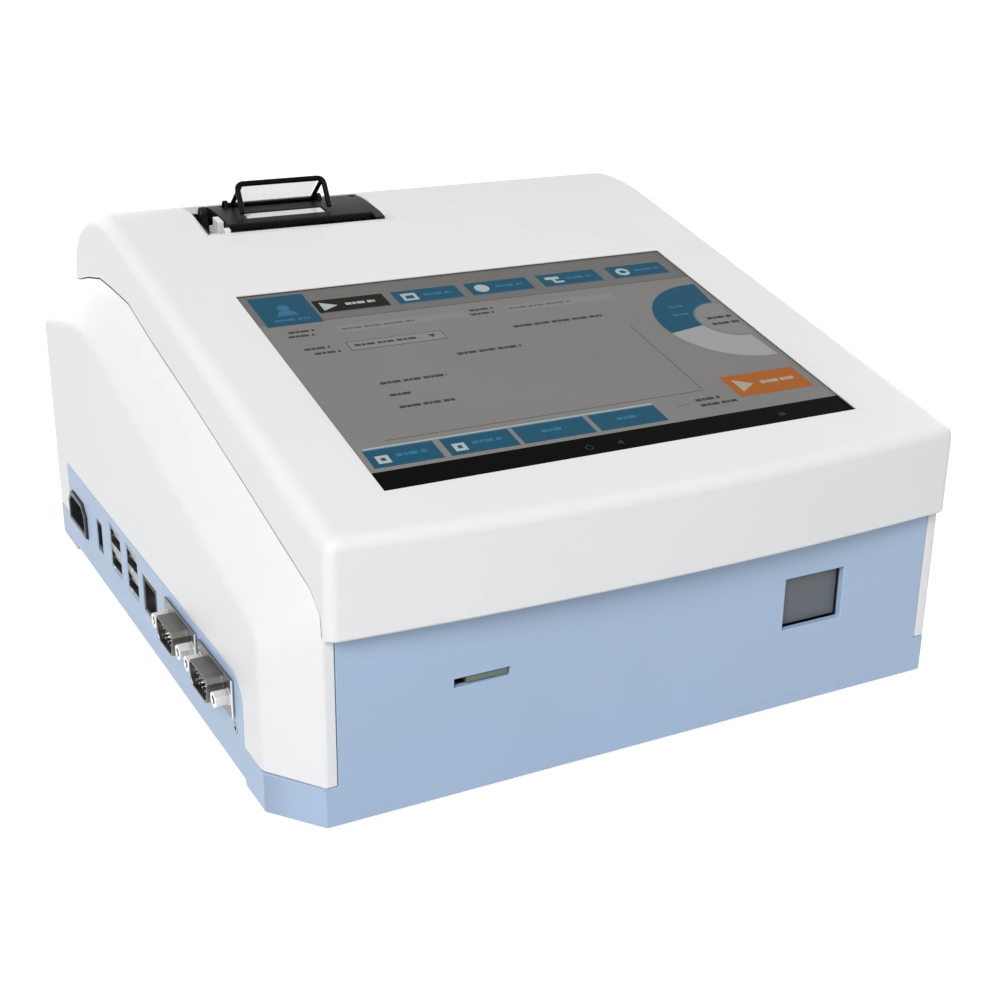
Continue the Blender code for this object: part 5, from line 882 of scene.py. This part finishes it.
def rounded(path, radius, steps=6):
    """A path of straight runs whose corners are rounded."""
    path = [Vector(point) for point in path]
    run = [path[0]]
    for before, corner, after in zip(path, path[1:], path[2:]):
        start = corner + (before - corner).normalized() * radius
        end = corner + (after - corner).normalized() * radius
        for step in range(steps + 1):
            t = step / steps
            run.append(start * (1 - t) ** 2 + corner * 2 * t * (1 - t) + end * t ** 2)
    return run + [path[-1]]


def swept(shape, path, radius, sides=16, material=0):
    """A round wire along a path, with slightly rounded ends."""
    path = [Vector(point) for point in path]
    runs = [(b - a).normalized() for a, b in zip(path, path[1:])]
    aside = runs[0].orthogonal().normalized()
    rings = []
    ends = 0.3 * radius
    stops = [(path[0], runs[0], radius - ends)]
    path[0] = path[0] + runs[0] * ends
    path[-1], tip = path[-1] - runs[-1] * ends, path[-1]
    for index, point in enumerate(path):
        way = (runs[max(0, index - 1)] + runs[min(len(runs) - 1, index)]).normalized()
        stops.append((point, way, radius))
    stops.append((tip, runs[-1], radius - ends))
    for point, way, reach in stops:
        aside = (aside - way * aside.dot(way)).normalized()
        other = way.cross(aside)
        rings.append([shape.verts.new(point + (aside * math.cos(t) + other * math.sin(t)) * reach)
                      for t in (2 * math.pi * k / sides for k in range(sides))])
    faces = [shape.faces.new(rings[0]), shape.faces.new(rings[-1])]
    for lower, upper in zip(rings, rings[1:]):
        for k in range(sides):
            j = (k + 1) % sides
            faces.append(shape.faces.new((lower[k], lower[j], upper[j], upper[k])))
    for face in faces:
        face.material_index = material
    return shape


hoop_wire, leg_wire, bail_bend, bar_out = 0.001, 0.0008, 0.0026, 0.0015
bail_ahead, bail_up, bail_foot_ahead, top_shy = 0.0091, 0.0092, 0.0149, 0.00006
middle, half = middle_of("door_bail")
hinge_at = joint_at["bail_hinge"]
left, right = middle.x - half.x + bar_out, middle.x + half.x - bar_out
top = hinge_at + Vector((0, -bail_ahead, bail_up - top_shy))
foot_y = hinge_at.y - bail_foot_ahead
foot_z = cover_height(foot_y - case_at.y) + case_at.z + hoop_wire + fit
hoop = [(left, foot_y, foot_z), (left, top.y, top.z), (right, top.y, top.z), (right, foot_y, foot_z)]
bail = swept(bmesh.new(), rounded(hoop, bail_bend), hoop_wire)
pivot = [(middle.x + way * half.x, hinge_at.y, hinge_at.z) for way in (-1, 1)]
swept(bail, pivot, hoop_wire)
for x, inward in ((left, 1), (right, -1)):
    leg_x = x + inward * 0.001
    leg_top = top.lerp(Vector((top.x, foot_y, foot_z)), 0.10)
    swept(bail, [(leg_x, leg_top.y, leg_top.z), (leg_x, hinge_at.y, hinge_at.z)], leg_wire, 12)
add_piece("wire_bail", bail, "bail", wire_black, ("door_bail",), 50)
add_piece("clear_pane", copied("bail_pane", 0.0001, 2, 40), "bail", clear_sheet,
          ("bail_pane",))

# The paper drive: a rubber platen on a steel shaft rides in the lid, driven by nylon gears from a small motor
# beside the bucket. The print head presses from the front, and the steel bar tears the paper.
nylon = plastic("natural_nylon", (0.72, 0.71, 0.67), 0.42, shade=0.06, grain=900.0, depth_mm=0.02, wear_and_sheen=0.15,
                wear_and_sheen_colour=(0.5, 0.49, 0.45))
ceramic = plastic("head_ceramic", (0.66, 0.65, 0.60), 0.3, shade=0.1, grain=3000.0, depth_mm=0.01)
grey_plastic = plastic("grey_moulding", (0.095, 0.11, 0.125), 0.42, shade=0.08, dulling=0.15, grain=1500.0,
                       depth_mm=0.02)
middle, half = middle_of("platen_roller")
bore = 0.0015
groove, sleeve_round = 0.00008, 0.0004
sleeve = [(0, bore), (0, half.y - sleeve_round), (sleeve_round, half.y)]
along = 2 * sleeve_round
while along < 2 * half.x - 2 * sleeve_round:
    sleeve += [(along, half.y), (along + sleeve_round, half.y - groove)]
    along += 2 * sleeve_round
sleeve += [(2 * half.x - sleeve_round, half.y), (2 * half.x, half.y - sleeve_round), (2 * half.x, bore)]
roller = turned(bmesh.new(), sleeve, middle - Vector((half.x, 0, 0)), (1, 0, 0), 40, 0, True)
add_piece("ground_roller", roller, "platen", rubber, ("platen_roller",))
add_piece("ground_platen_shaft", ground_rod("platen_shaft", (1, 0, 0)), "platen", steel,
          ("platen_shaft",))
for name, node, body in (("platen_wheel", "platen_gear", "platen"), ("idler_wheel", "idler_gear", "idler"),
                         ("motor_wheel", "motor_pinion", "pinion"),
                         ("tray_wheel", "tray_pinion", "tray_gear")):
    add_piece(name, copied(node, 0.0001, 2, 50), body, nylon, (node,), 30)


def small_motor(node, bore_radius):
    """A can motor: drawn can with a rolled edge, a bearing boss, a bored front and two solder tabs behind."""
    middle, half = middle_of(node)
    radius, length = half.y, 2 * half.x
    roll, boss, tab, bore_depth = 0.0006, 0.0012, 0.0010, 0.0034
    at = middle + Vector((half.x, 0, 0))
    outline = [(bore_depth, 0), (bore_depth, bore_radius), (0, bore_radius), (0, 0.3 * radius),
               (boss / 4, 0.34 * radius), (boss / 4, radius - roll), (roll, radius), (length - 2 * boss, radius),
               (length - 2 * boss, radius - roll), (length - boss - roll, radius - roll),
               (length - boss, radius - 2 * roll), (length - boss, 0.36 * radius), (length, 0.33 * radius),
               (length, 0)]
    shape = turned(bmesh.new(), outline, at, (-1, 0, 0), 56)
    for side in (-1, 1):
        corner = Vector((at.x - length + boss, middle.y, middle.z + side * 0.6 * radius))
        prism(shape, rectangle((-0.0002, -tab), (0.0002, tab)), -roll, boss,
              Matrix.Translation(corner) @ Vector((-1, 0, 0)).to_track_quat("Z", "Y").to_matrix().to_4x4())
    return shape


add_piece("paper_motor", small_motor("printer_motor", 0.0013), "root", steel, ("printer_motor",))
head = copied("print_head", 0.0003, 2)
low_corner, high_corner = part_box("print_head")
strip_height, strip_proud = 0.0022, 0.00012
strip_low = Vector((low_corner.x + 0.0008, high_corner.y - 0.0004, high_corner.z - 0.0010 - strip_height))
prism(head, rectangle((strip_low.x, strip_low.z), (high_corner.x - 0.0008, strip_low.z + strip_height)),
      -(high_corner.y + strip_proud), -strip_low.y, Matrix.Rotation(math.radians(90), 4, "X"), 1)
add_piece("thermal_head", head, "root", (grey_plastic, ceramic), ("print_head",))
blued_steel = metal("blued_steel", (0.045, 0.045, 0.05), 0.4, lines=(2200, 300, 2200), tarnish=0.3)
add_piece("toothed_bar", copied("tear_bar", 0.00008, 1, 30), "root", blued_steel, ("tear_bar",))
add_piece("slotted_plate", copied("gear_plate", 0.0002, 2, 40), "root", white_plastic,
          ("gear_plate",))

# The paper roll lies loose in the bucket: thermal paper wound on a grey board core, its layers a little
# uneven at the ends, with the free end lapped on the outside.
paper = plastic("thermal_paper", (0.84, 0.84, 0.83), 0.75, shade=0.03, grain=2600.0, depth_mm=0.02,
                specular=0.25)
board_core = plastic("core_board", (0.36, 0.31, 0.25), 0.85, shade=0.3, grain=900.0, depth_mm=0.05,
                     specular=0.2)
middle, half = middle_of("paper_roll")
roll_core, core_wall, layer_step, layer_out, lap_height = 0.006, 0.0008, 0.00045, 0.00012, 0.00012
roll_radius = half.y - lap_height
radii = []
radius = roll_core + core_wall
while radius < roll_radius - layer_step:
    radii.append(radius)
    radius += layer_step
ends = [(layer_out * (index % 2) + layer_out / 2 * (index % 3), radius) for index, radius in enumerate(radii)]
profile = ends + [(layer_out, roll_radius)]
profile += [(2 * half.x - along, radius) for along, radius in reversed(profile)]
wound = turned(bmesh.new(), profile, middle - Vector((half.x, 0, 0)), (1, 0, 0), 96, 0, True)
core_line = [(layer_out, roll_core), (layer_out, roll_core + core_wall + fit / 4),
             (2 * half.x - layer_out, roll_core + core_wall + fit / 4), (2 * half.x - layer_out, roll_core)]
turned(wound, core_line, middle - Vector((half.x, 0, 0)), (1, 0, 0), 64, 1, True)
lap = arc((0, 0), half.y - lap_height / 4, 95, 150, 12) + arc((0, 0), roll_radius - fit / 4, 150, 95, 12)
prism(wound, lap, -half.x + layer_out, half.x - layer_out,
      Matrix.Translation(middle) @ Matrix(((0, 0, 1), (1, 0, 0), (0, 1, 0))).to_4x4())
add_piece("wound_paper", wound, "roll", (paper, board_core), ("paper_roll",), 20)

# The cartridge drawer: a dark grey tray with the square face seen from outside, a well for the test cartridge
# and a rack moulded under it. It runs in a black channel that stands on the floor.
add_piece("cartridge_drawer", copied("cartridge_tray", 0.0003, 2, 50), "tray", grey_plastic,
          ("cartridge_tray",))
add_piece("drawer_channel", copied("bay_frame", 0.0001, 1, 60), "root", black_plastic,
          ("bay_frame",))
add_piece("drawer_motor", small_motor("tray_motor", 0.0016), "root", steel, ("tray_motor",))

# The optical head over the channel: a black moulded housing with four cover screws, and a coated glass lens
# in its barrel.
head = copied("optical_head", 0.0005, 3, 50)
low_corner, high_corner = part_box("optical_head")
lens_clear, tree, shader = new_material("coated_lens")
skin = add_node(tree, "Group", {"Colour": (0.62, 0.70, 0.82, 1), "Shade change": 0.04, "Roughness": 0.03,
                                "Roughness change": 0.04, "Grain scale": 900.0}, node_tree=moulding).outputs
feed(tree, shader, {"Transmission Weight": 1.0, "IOR": 1.52, "Coat Weight": 0.4, "Base Color": skin["Colour"],
                    "Roughness": skin["Roughness"]})
screw_in, screw_proud = 0.003, 0.0006
for x in (low_corner.x + screw_in, high_corner.x - screw_in):
    for y in (low_corner.y + screw_in, high_corner.y - screw_in):
        turned(head, [(0, 0), (0, 0.0016), (0.0003, 0.0019), (0.0009, 0.0019), (0.0009, 0)],
               (x, y, high_corner.z + screw_proud), (0, 0, -1), 24, 1)
add_piece("reader_head", head, "root", (black_plastic, nickel), ("optical_head",))
middle, half = middle_of("optical_lens")
bulge = 0.0005
lens_line = [(0, 0), (bulge / 3, 0.55 * half.x), (bulge, half.x), (2 * half.z - bulge, half.x),
             (2 * half.z - bulge / 3, 0.55 * half.x), (2 * half.z, 0)]
add_piece("reader_lens", turned(bmesh.new(), lens_line, middle - Vector((0, 0, half.z)), (0, 0, 1)), "root",
          lens_clear, ("optical_lens",))

# The code chip and its socket: a black socket on two legs behind the slot, and a chip with finger ridges in
# front and gilt contact pads at its inner end, painted dark grey-green as painted shade of its recess.
add_piece("chip_holder", copied("chip_socket", 0.0003, 2, 50), "root", black_plastic,
          ("chip_socket",))
# The chip's light grey is darkened to grey-green: painted shade of the slot it sits back in.
shaded_chip_plastic = plastic("chip_moulding_painted_shade", (0.13, 0.17, 0.14), 0.5, shade=0.08, grain=1500.0, depth_mm=0.02)
gilt = metal("gilt_contact", (0.78, 0.56, 0.24), 0.3, lines=(3000, 3000, 3000), tarnish=0.2)
chip = copied("id_chip", 0.0003, 3, 50)
low_corner, high_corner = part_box("id_chip")
ridge_pitch, ridge_width, ridge_sink = 0.0011, 0.0004, 0.0004
for number in range(4):
    y = low_corner.y + ridge_pitch * (number + 1)
    prism(chip, rectangle((low_corner.x + ridge_pitch, y), (high_corner.x - ridge_pitch, y + ridge_width)),
          high_corner.z - ridge_sink, high_corner.z + ridge_sink / 4)
pad_count, pad_length, pad_height = 6, 0.0035, 0.00004
pad_pitch = (high_corner.x - low_corner.x - ridge_pitch) / pad_count
for number in range(pad_count):
    x = low_corner.x + ridge_pitch / 2 + (number + 0.5) * pad_pitch
    prism(chip, rectangle((x - 0.35 * pad_pitch, high_corner.y - ridge_pitch - pad_length),
                          (x + 0.35 * pad_pitch, high_corner.y - ridge_pitch)),
          high_corner.z - ridge_sink, high_corner.z + pad_height, material=1)
add_piece("code_chip", chip, "chip", (shaded_chip_plastic, gilt), ("id_chip",))

# The main board: green glass-fibre laminate with copper runs under its lacquer, on bosses in the tray. It
# carries a processor, a converter with two capacitors, a relay and a header.


def lacquered_board():
    """Green solder lacquer over copper runs, which a fine brick pattern of lines stands for."""
    material, tree, shader = new_material("lacquered_board")
    place = add_node(tree, "TexCoord").outputs["Object"]
    runs = add_node(tree, "TexBrick", {"Vector": place, "Scale": 95.0, "Mortar Size": 0.035,
                                       "Brick Width": 0.9, "Row Height": 0.16, "Color1": (0.016, 0.10, 0.045, 1),
                                       "Color2": (0.020, 0.12, 0.055, 1), "Mortar": (0.045, 0.20, 0.085, 1)},
                    offset=0.37).outputs
    dulled = add_node(tree, "TexNoise", {"Scale": 60.0, "Vector": place}).outputs["Fac"]
    gloss = add_node(tree, "MapRange", {"Value": dulled, "To Min": 0.3, "To Max": 0.5})
    bump = add_node(tree, "Bump", {"Distance": 0.00004, "Height": runs["Fac"]})
    feed(tree, shader, {"Coat Weight": 0.3, "Base Color": runs["Color"], "Roughness": gloss.outputs[0],
                        "Normal": bump.outputs["Normal"]})
    return material


def part_block(shape, low, high, material, chamfer):
    """A package on the board, with its upper edges chamfered."""
    levels = ((low[2], 0), (high[2] - chamfer, 0), (high[2], chamfer))
    rings = [[shape.verts.new((x, y, z)) for x, y in rectangle((low[0] + inset, low[1] + inset),
                                                              (high[0] - inset, high[1] - inset))]
             for z, inset in levels]
    faces = [shape.faces.new(tuple(reversed(rings[0]))), shape.faces.new(rings[-1])]
    for lower, upper in zip(rings, rings[1:]):
        faces += [shape.faces.new((lower[k], lower[(k + 1) % 4], upper[(k + 1) % 4], upper[k]))
                  for k in range(4)]
    for face in faces:
        face.material_index = material


package = plastic("chip_package", (0.020, 0.020, 0.021), 0.55, shade=0.15, grain=2500.0, depth_mm=0.02)
sleeve = plastic("capacitor_sleeve", (0.03, 0.035, 0.07), 0.3, shade=0.1, grain=600.0, depth_mm=0.01)
low_corner, high_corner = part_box("main_board")
laminate, part_rise = 0.0016, 0.008
board_top = low_corner.z + laminate
board_size = high_corner - low_corner
board = bmesh.new()
prism(board, rectangle(low_corner.xy, high_corner.xy), low_corner.z, board_top)
soften(board, 0.0002, 1)


def on_board(x, y, across, along, rise):
    """Corners of a part's room on the board, from shares of the board's size and of the tallest part."""
    corner = Vector((low_corner.x + x * board_size.x, low_corner.y + y * board_size.y, board_top))
    return corner, corner + Vector((across * board_size.x, along * board_size.y, rise * part_rise))


low_part, high_part = on_board(0.42, 0.16, 0.20, 0.12, 0.30)
lead_length, lead_width, lead_pitch = 0.0012, 0.0004, 0.0010
body_in = Vector((lead_length, lead_length, 0))
part_block(board, low_part + body_in, high_part - body_in, 1, 0.0003)
for side_y in (low_part.y, high_part.y - lead_length):
    x = low_part.x + 2 * lead_length
    while x < high_part.x - 2 * lead_length:
        prism(board, rectangle((x, side_y), (x + lead_width, side_y + lead_length)), board_top,
              board_top + lead_width, material=2)
        x += lead_pitch
low_part, high_part = on_board(0.62, 0.52, 0.30, 0.14, 0.9)
middle = (low_part + high_part) / 2
part_block(board, low_part, Vector((middle.x - 0.001, high_part.y, high_part.z)), 1, 0.0008)
can_height = high_part.z - board_top
can_radius = min((high_part.x - middle.x) / 4, (high_part.y - low_part.y) / 2) - fit
for number in range(2):
    centre = (middle.x + (2 * number + 1) * (can_radius + fit), middle.y, board_top)
    turned(board, [(0, 0), (0, can_radius), (0.0006, can_radius), (0.0010, 0.93 * can_radius),
                   (0.0016, can_radius), (can_height - 0.0005, can_radius), (can_height, 0.9 * can_radius),
                   (can_height - 0.0003, 0.8 * can_radius), (can_height - 0.0003, 0)],
           centre, (0, 0, 1), 32, 3)
low_part, high_part = on_board(0.40, 0.78, 0.16, 0.10, 1.0)
part_block(board, low_part, high_part, 1, 0.001)
low_part, high_part = on_board(0.75, 0.84, 0.12, 0.12, 0.6)
part_block(board, low_part, high_part, 4, 0.0004)
pin_pitch, pin_half = 0.00254, 0.0003
y = low_part.y + pin_pitch / 2
while y < high_part.y - pin_half:
    for x in (low_part.x + pin_pitch, high_part.x - pin_pitch):
        prism(board, rectangle((x - pin_half, y - pin_half), (x + pin_half, y + pin_half)),
              high_part.z - pin_half, high_part.z + pin_half / 2, material=5)
    y += pin_pitch
add_piece("populated_board", board, "root",
          (lacquered_board(), package, nickel, sleeve, print_white, gilt), ("main_board",))

# The power supply: a cage folded from galvanised sheet, with two rows of slots and four screws in its lid.
cage = copied("power_supply", 0.0006, 3)
low_corner, high_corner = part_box("power_supply")
slot_pitch, slot_width, slot_length, slot_sink, slot_in = 0.0055, 0.0018, 0.010, 0.0006, 0.008
slots = bmesh.new()
for row_y in (low_corner.y + slot_in / 2, high_corner.y - slot_in / 2 - slot_length):
    x = low_corner.x + slot_in
    while x < high_corner.x - slot_in:
        prism(slots, rectangle((x, row_y), (x + slot_width, row_y + slot_length)), high_corner.z - slot_sink,
              high_corner.z + past)
        x += slot_pitch
cage = shaped(cage, cutting(slots))
for x in (low_corner.x + slot_in / 2, high_corner.x - slot_in / 2):
    for y in (low_corner.y + slot_in / 2, high_corner.y - slot_in / 2):
        turned(cage, [(0, 0), (0, 0.0013), (0.0003, 0.0016), (0.0008, 0.0016), (0.0008, 0)],
               (x, y, high_corner.z + 0.0003), (0, 0, -1), 24, 1)
add_piece("supply_cage", cage, "root", (sheet_steel, nickel), ("power_supply",))

# The connectors stand on the main board with their mouths in the port wall. The network jack and the two
# double data ports have a bright pressed shell round a dark moulded core, with gilt springs and pale tongues.
# All within the shell's outer edge is painted black: the core's own colour, and painted shade on metal faces.
socket_black = plastic("socket_black", (0.010, 0.010, 0.009), 0.5, shade=0.2, grain=1500.0, depth_mm=0.02,
                       specular=0.3)
# Lit and shaded copies of one nickel: near white as a painted reflection, dark grey as a painted dark
# reflection.
nickel_painted_highlight = metal("nickel_painted_highlight", (0.80, 0.79, 0.77), 0.3, lines=(2500, 2500, 2500), tarnish=0.1,
                      change=0.2)
nickel_painted_shade = metal("nickel_painted_shade", (0.21, 0.205, 0.20), 0.34, lines=(2500, 2500, 2500), tarnish=0.3,
                    change=0.3)
tongue_pale = plastic("tongue_pale", (0.50, 0.50, 0.47), 0.4, shade=0.1, grain=1500.0, depth_mm=0.01)
shell_sheet = 0.0004


def painted(shape, material, low, high):
    """Gives another material to the faces whose middle lies in a box."""
    for face in shape.faces:
        middle = face.calc_center_median()
        if all(low[k] <= middle[k] <= high[k] for k in range(3)):
            face.material_index = material


def shelled(node):
    """A connector's own shape with a thin sheet edge marked off in its face; all within it is painted the dark
    core's black, metal faces too, as painted shade.
    """
    shape = copied(node)
    low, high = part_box(node)
    bmesh.ops.dissolve_limit(shape, angle_limit=0.01, verts=shape.verts, edges=shape.edges)
    mouth_face = [face for face in shape.faces
                  if face.normal.x < -0.9 and face.calc_center_median().x < low.x + fit]
    bmesh.ops.inset_region(shape, faces=mouth_face, thickness=shell_sheet, depth=0)
    inset = Vector((0, 1, 1)) * 1.1 * shell_sheet
    painted(shape, 1, low + inset - Vector((fit, 0, 0)), high - inset - Vector((shell_sheet, 0, 0)))
    return shape


jack = shelled("network_jack")
low_corner, high_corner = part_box("network_jack")
wire_count, wire_pitch, wire_radius = 8, 0.00102, 0.0002
middle, half = middle_of("network_jack")
mouth_drop, mouth_height, well = 0.0017, 0.01, 0.014
for number in range(wire_count):
    y = middle.y + (number - (wire_count - 1) / 2) * wire_pitch
    spring = [(low_corner.x + well - fit, y, low_corner.z + mouth_drop + 0.7 * mouth_height),
              (low_corner.x + 0.35 * well, y, low_corner.z + mouth_drop + 0.25 * mouth_height)]
    swept(jack, spring, wire_radius, 8, 2)
add_piece("shelled_jack", jack, "root", (nickel, socket_black, gilt), ("network_jack",))
mouth_low, mouth_pitch, mouth_rise, tongue_half = 0.00165, 0.0086, 0.0053, 0.00425
for number in (1, 2):
    stack = copied(f"usb_stack_{number}")
    low_corner, high_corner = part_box(f"usb_stack_{number}")
    middle, half = middle_of(f"usb_stack_{number}")
    # The stack's inside, the shell's inner walls too, is painted black: the core's own colour and painted shade.
    painted(stack, 1, low_corner + Vector((fit, fit, fit)), high_corner - Vector((0.005, fit, fit)))
    for bay in range(2):
        floor = low_corner.z + mouth_low + bay * mouth_pitch
        tongue_top, tongue_low = floor + mouth_rise - 0.0006, floor + mouth_rise - 0.0026
        painted(stack, 2, (low_corner.x + shell_sheet, middle.y - tongue_half - fit, tongue_low - fit),
                (low_corner.x + 0.011, middle.y + tongue_half + fit, tongue_top + fit))
    add_piece(f"shelled_stack_{number}", stack, "root", (nickel, socket_black, tongue_pale),
              (f"usb_stack_{number}",))

# The service port is a narrow black moulded socket, the mains inlet a black moulded one with three nickel
# blades.
add_piece("service_socket", copied("service_port", 0.0002, 2, 50), "root", socket_black,
          ("service_port",))
add_piece("mains_inlet", copied("inlet_body", 0.0004, 3, 50), "root", black_plastic,
          ("inlet_body",))
blades = copied("inlet_contacts", 0.0001, 2, 50)
add_piece("inlet_blades", blades, "root", nickel, ("inlet_contacts",))

# The two serial ports: a nickel-plated flange and shell with its two hexagon posts, and a black insert with
# nine plated pins. The same nickel is painted near white on the flange as a painted reflection, and dark grey
# on the shell as a painted dark reflection.
shell_reach, shell_out = 0.0088, 0.0056
for number in (1, 2):
    port = copied(f"serial_port_{number}", 0.0002, 2, 50)
    low_corner, high_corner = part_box(f"serial_port_{number}")
    middle, half = middle_of(f"serial_port_{number}")
    painted(port, 1, Vector((low_corner.x - fit, middle.y - shell_reach, low_corner.z)),
            Vector((low_corner.x + shell_out, middle.y + shell_reach, high_corner.z)))
    add_piece(f"plated_serial_{number}", port, "root", (nickel_painted_highlight, nickel_painted_shade),
              (f"serial_port_{number}",), 30)
    insert = copied(f"serial_insert_{number}")
    low_corner, high_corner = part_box(f"serial_insert_{number}")
    painted(insert, 1, low_corner - Vector((fit, fit, fit)),
            Vector((low_corner.x + 0.0032, high_corner.y, high_corner.z)))
    add_piece(f"pinned_insert_{number}", insert, "root", (socket_black, nickel),
              (f"serial_insert_{number}",), 30)
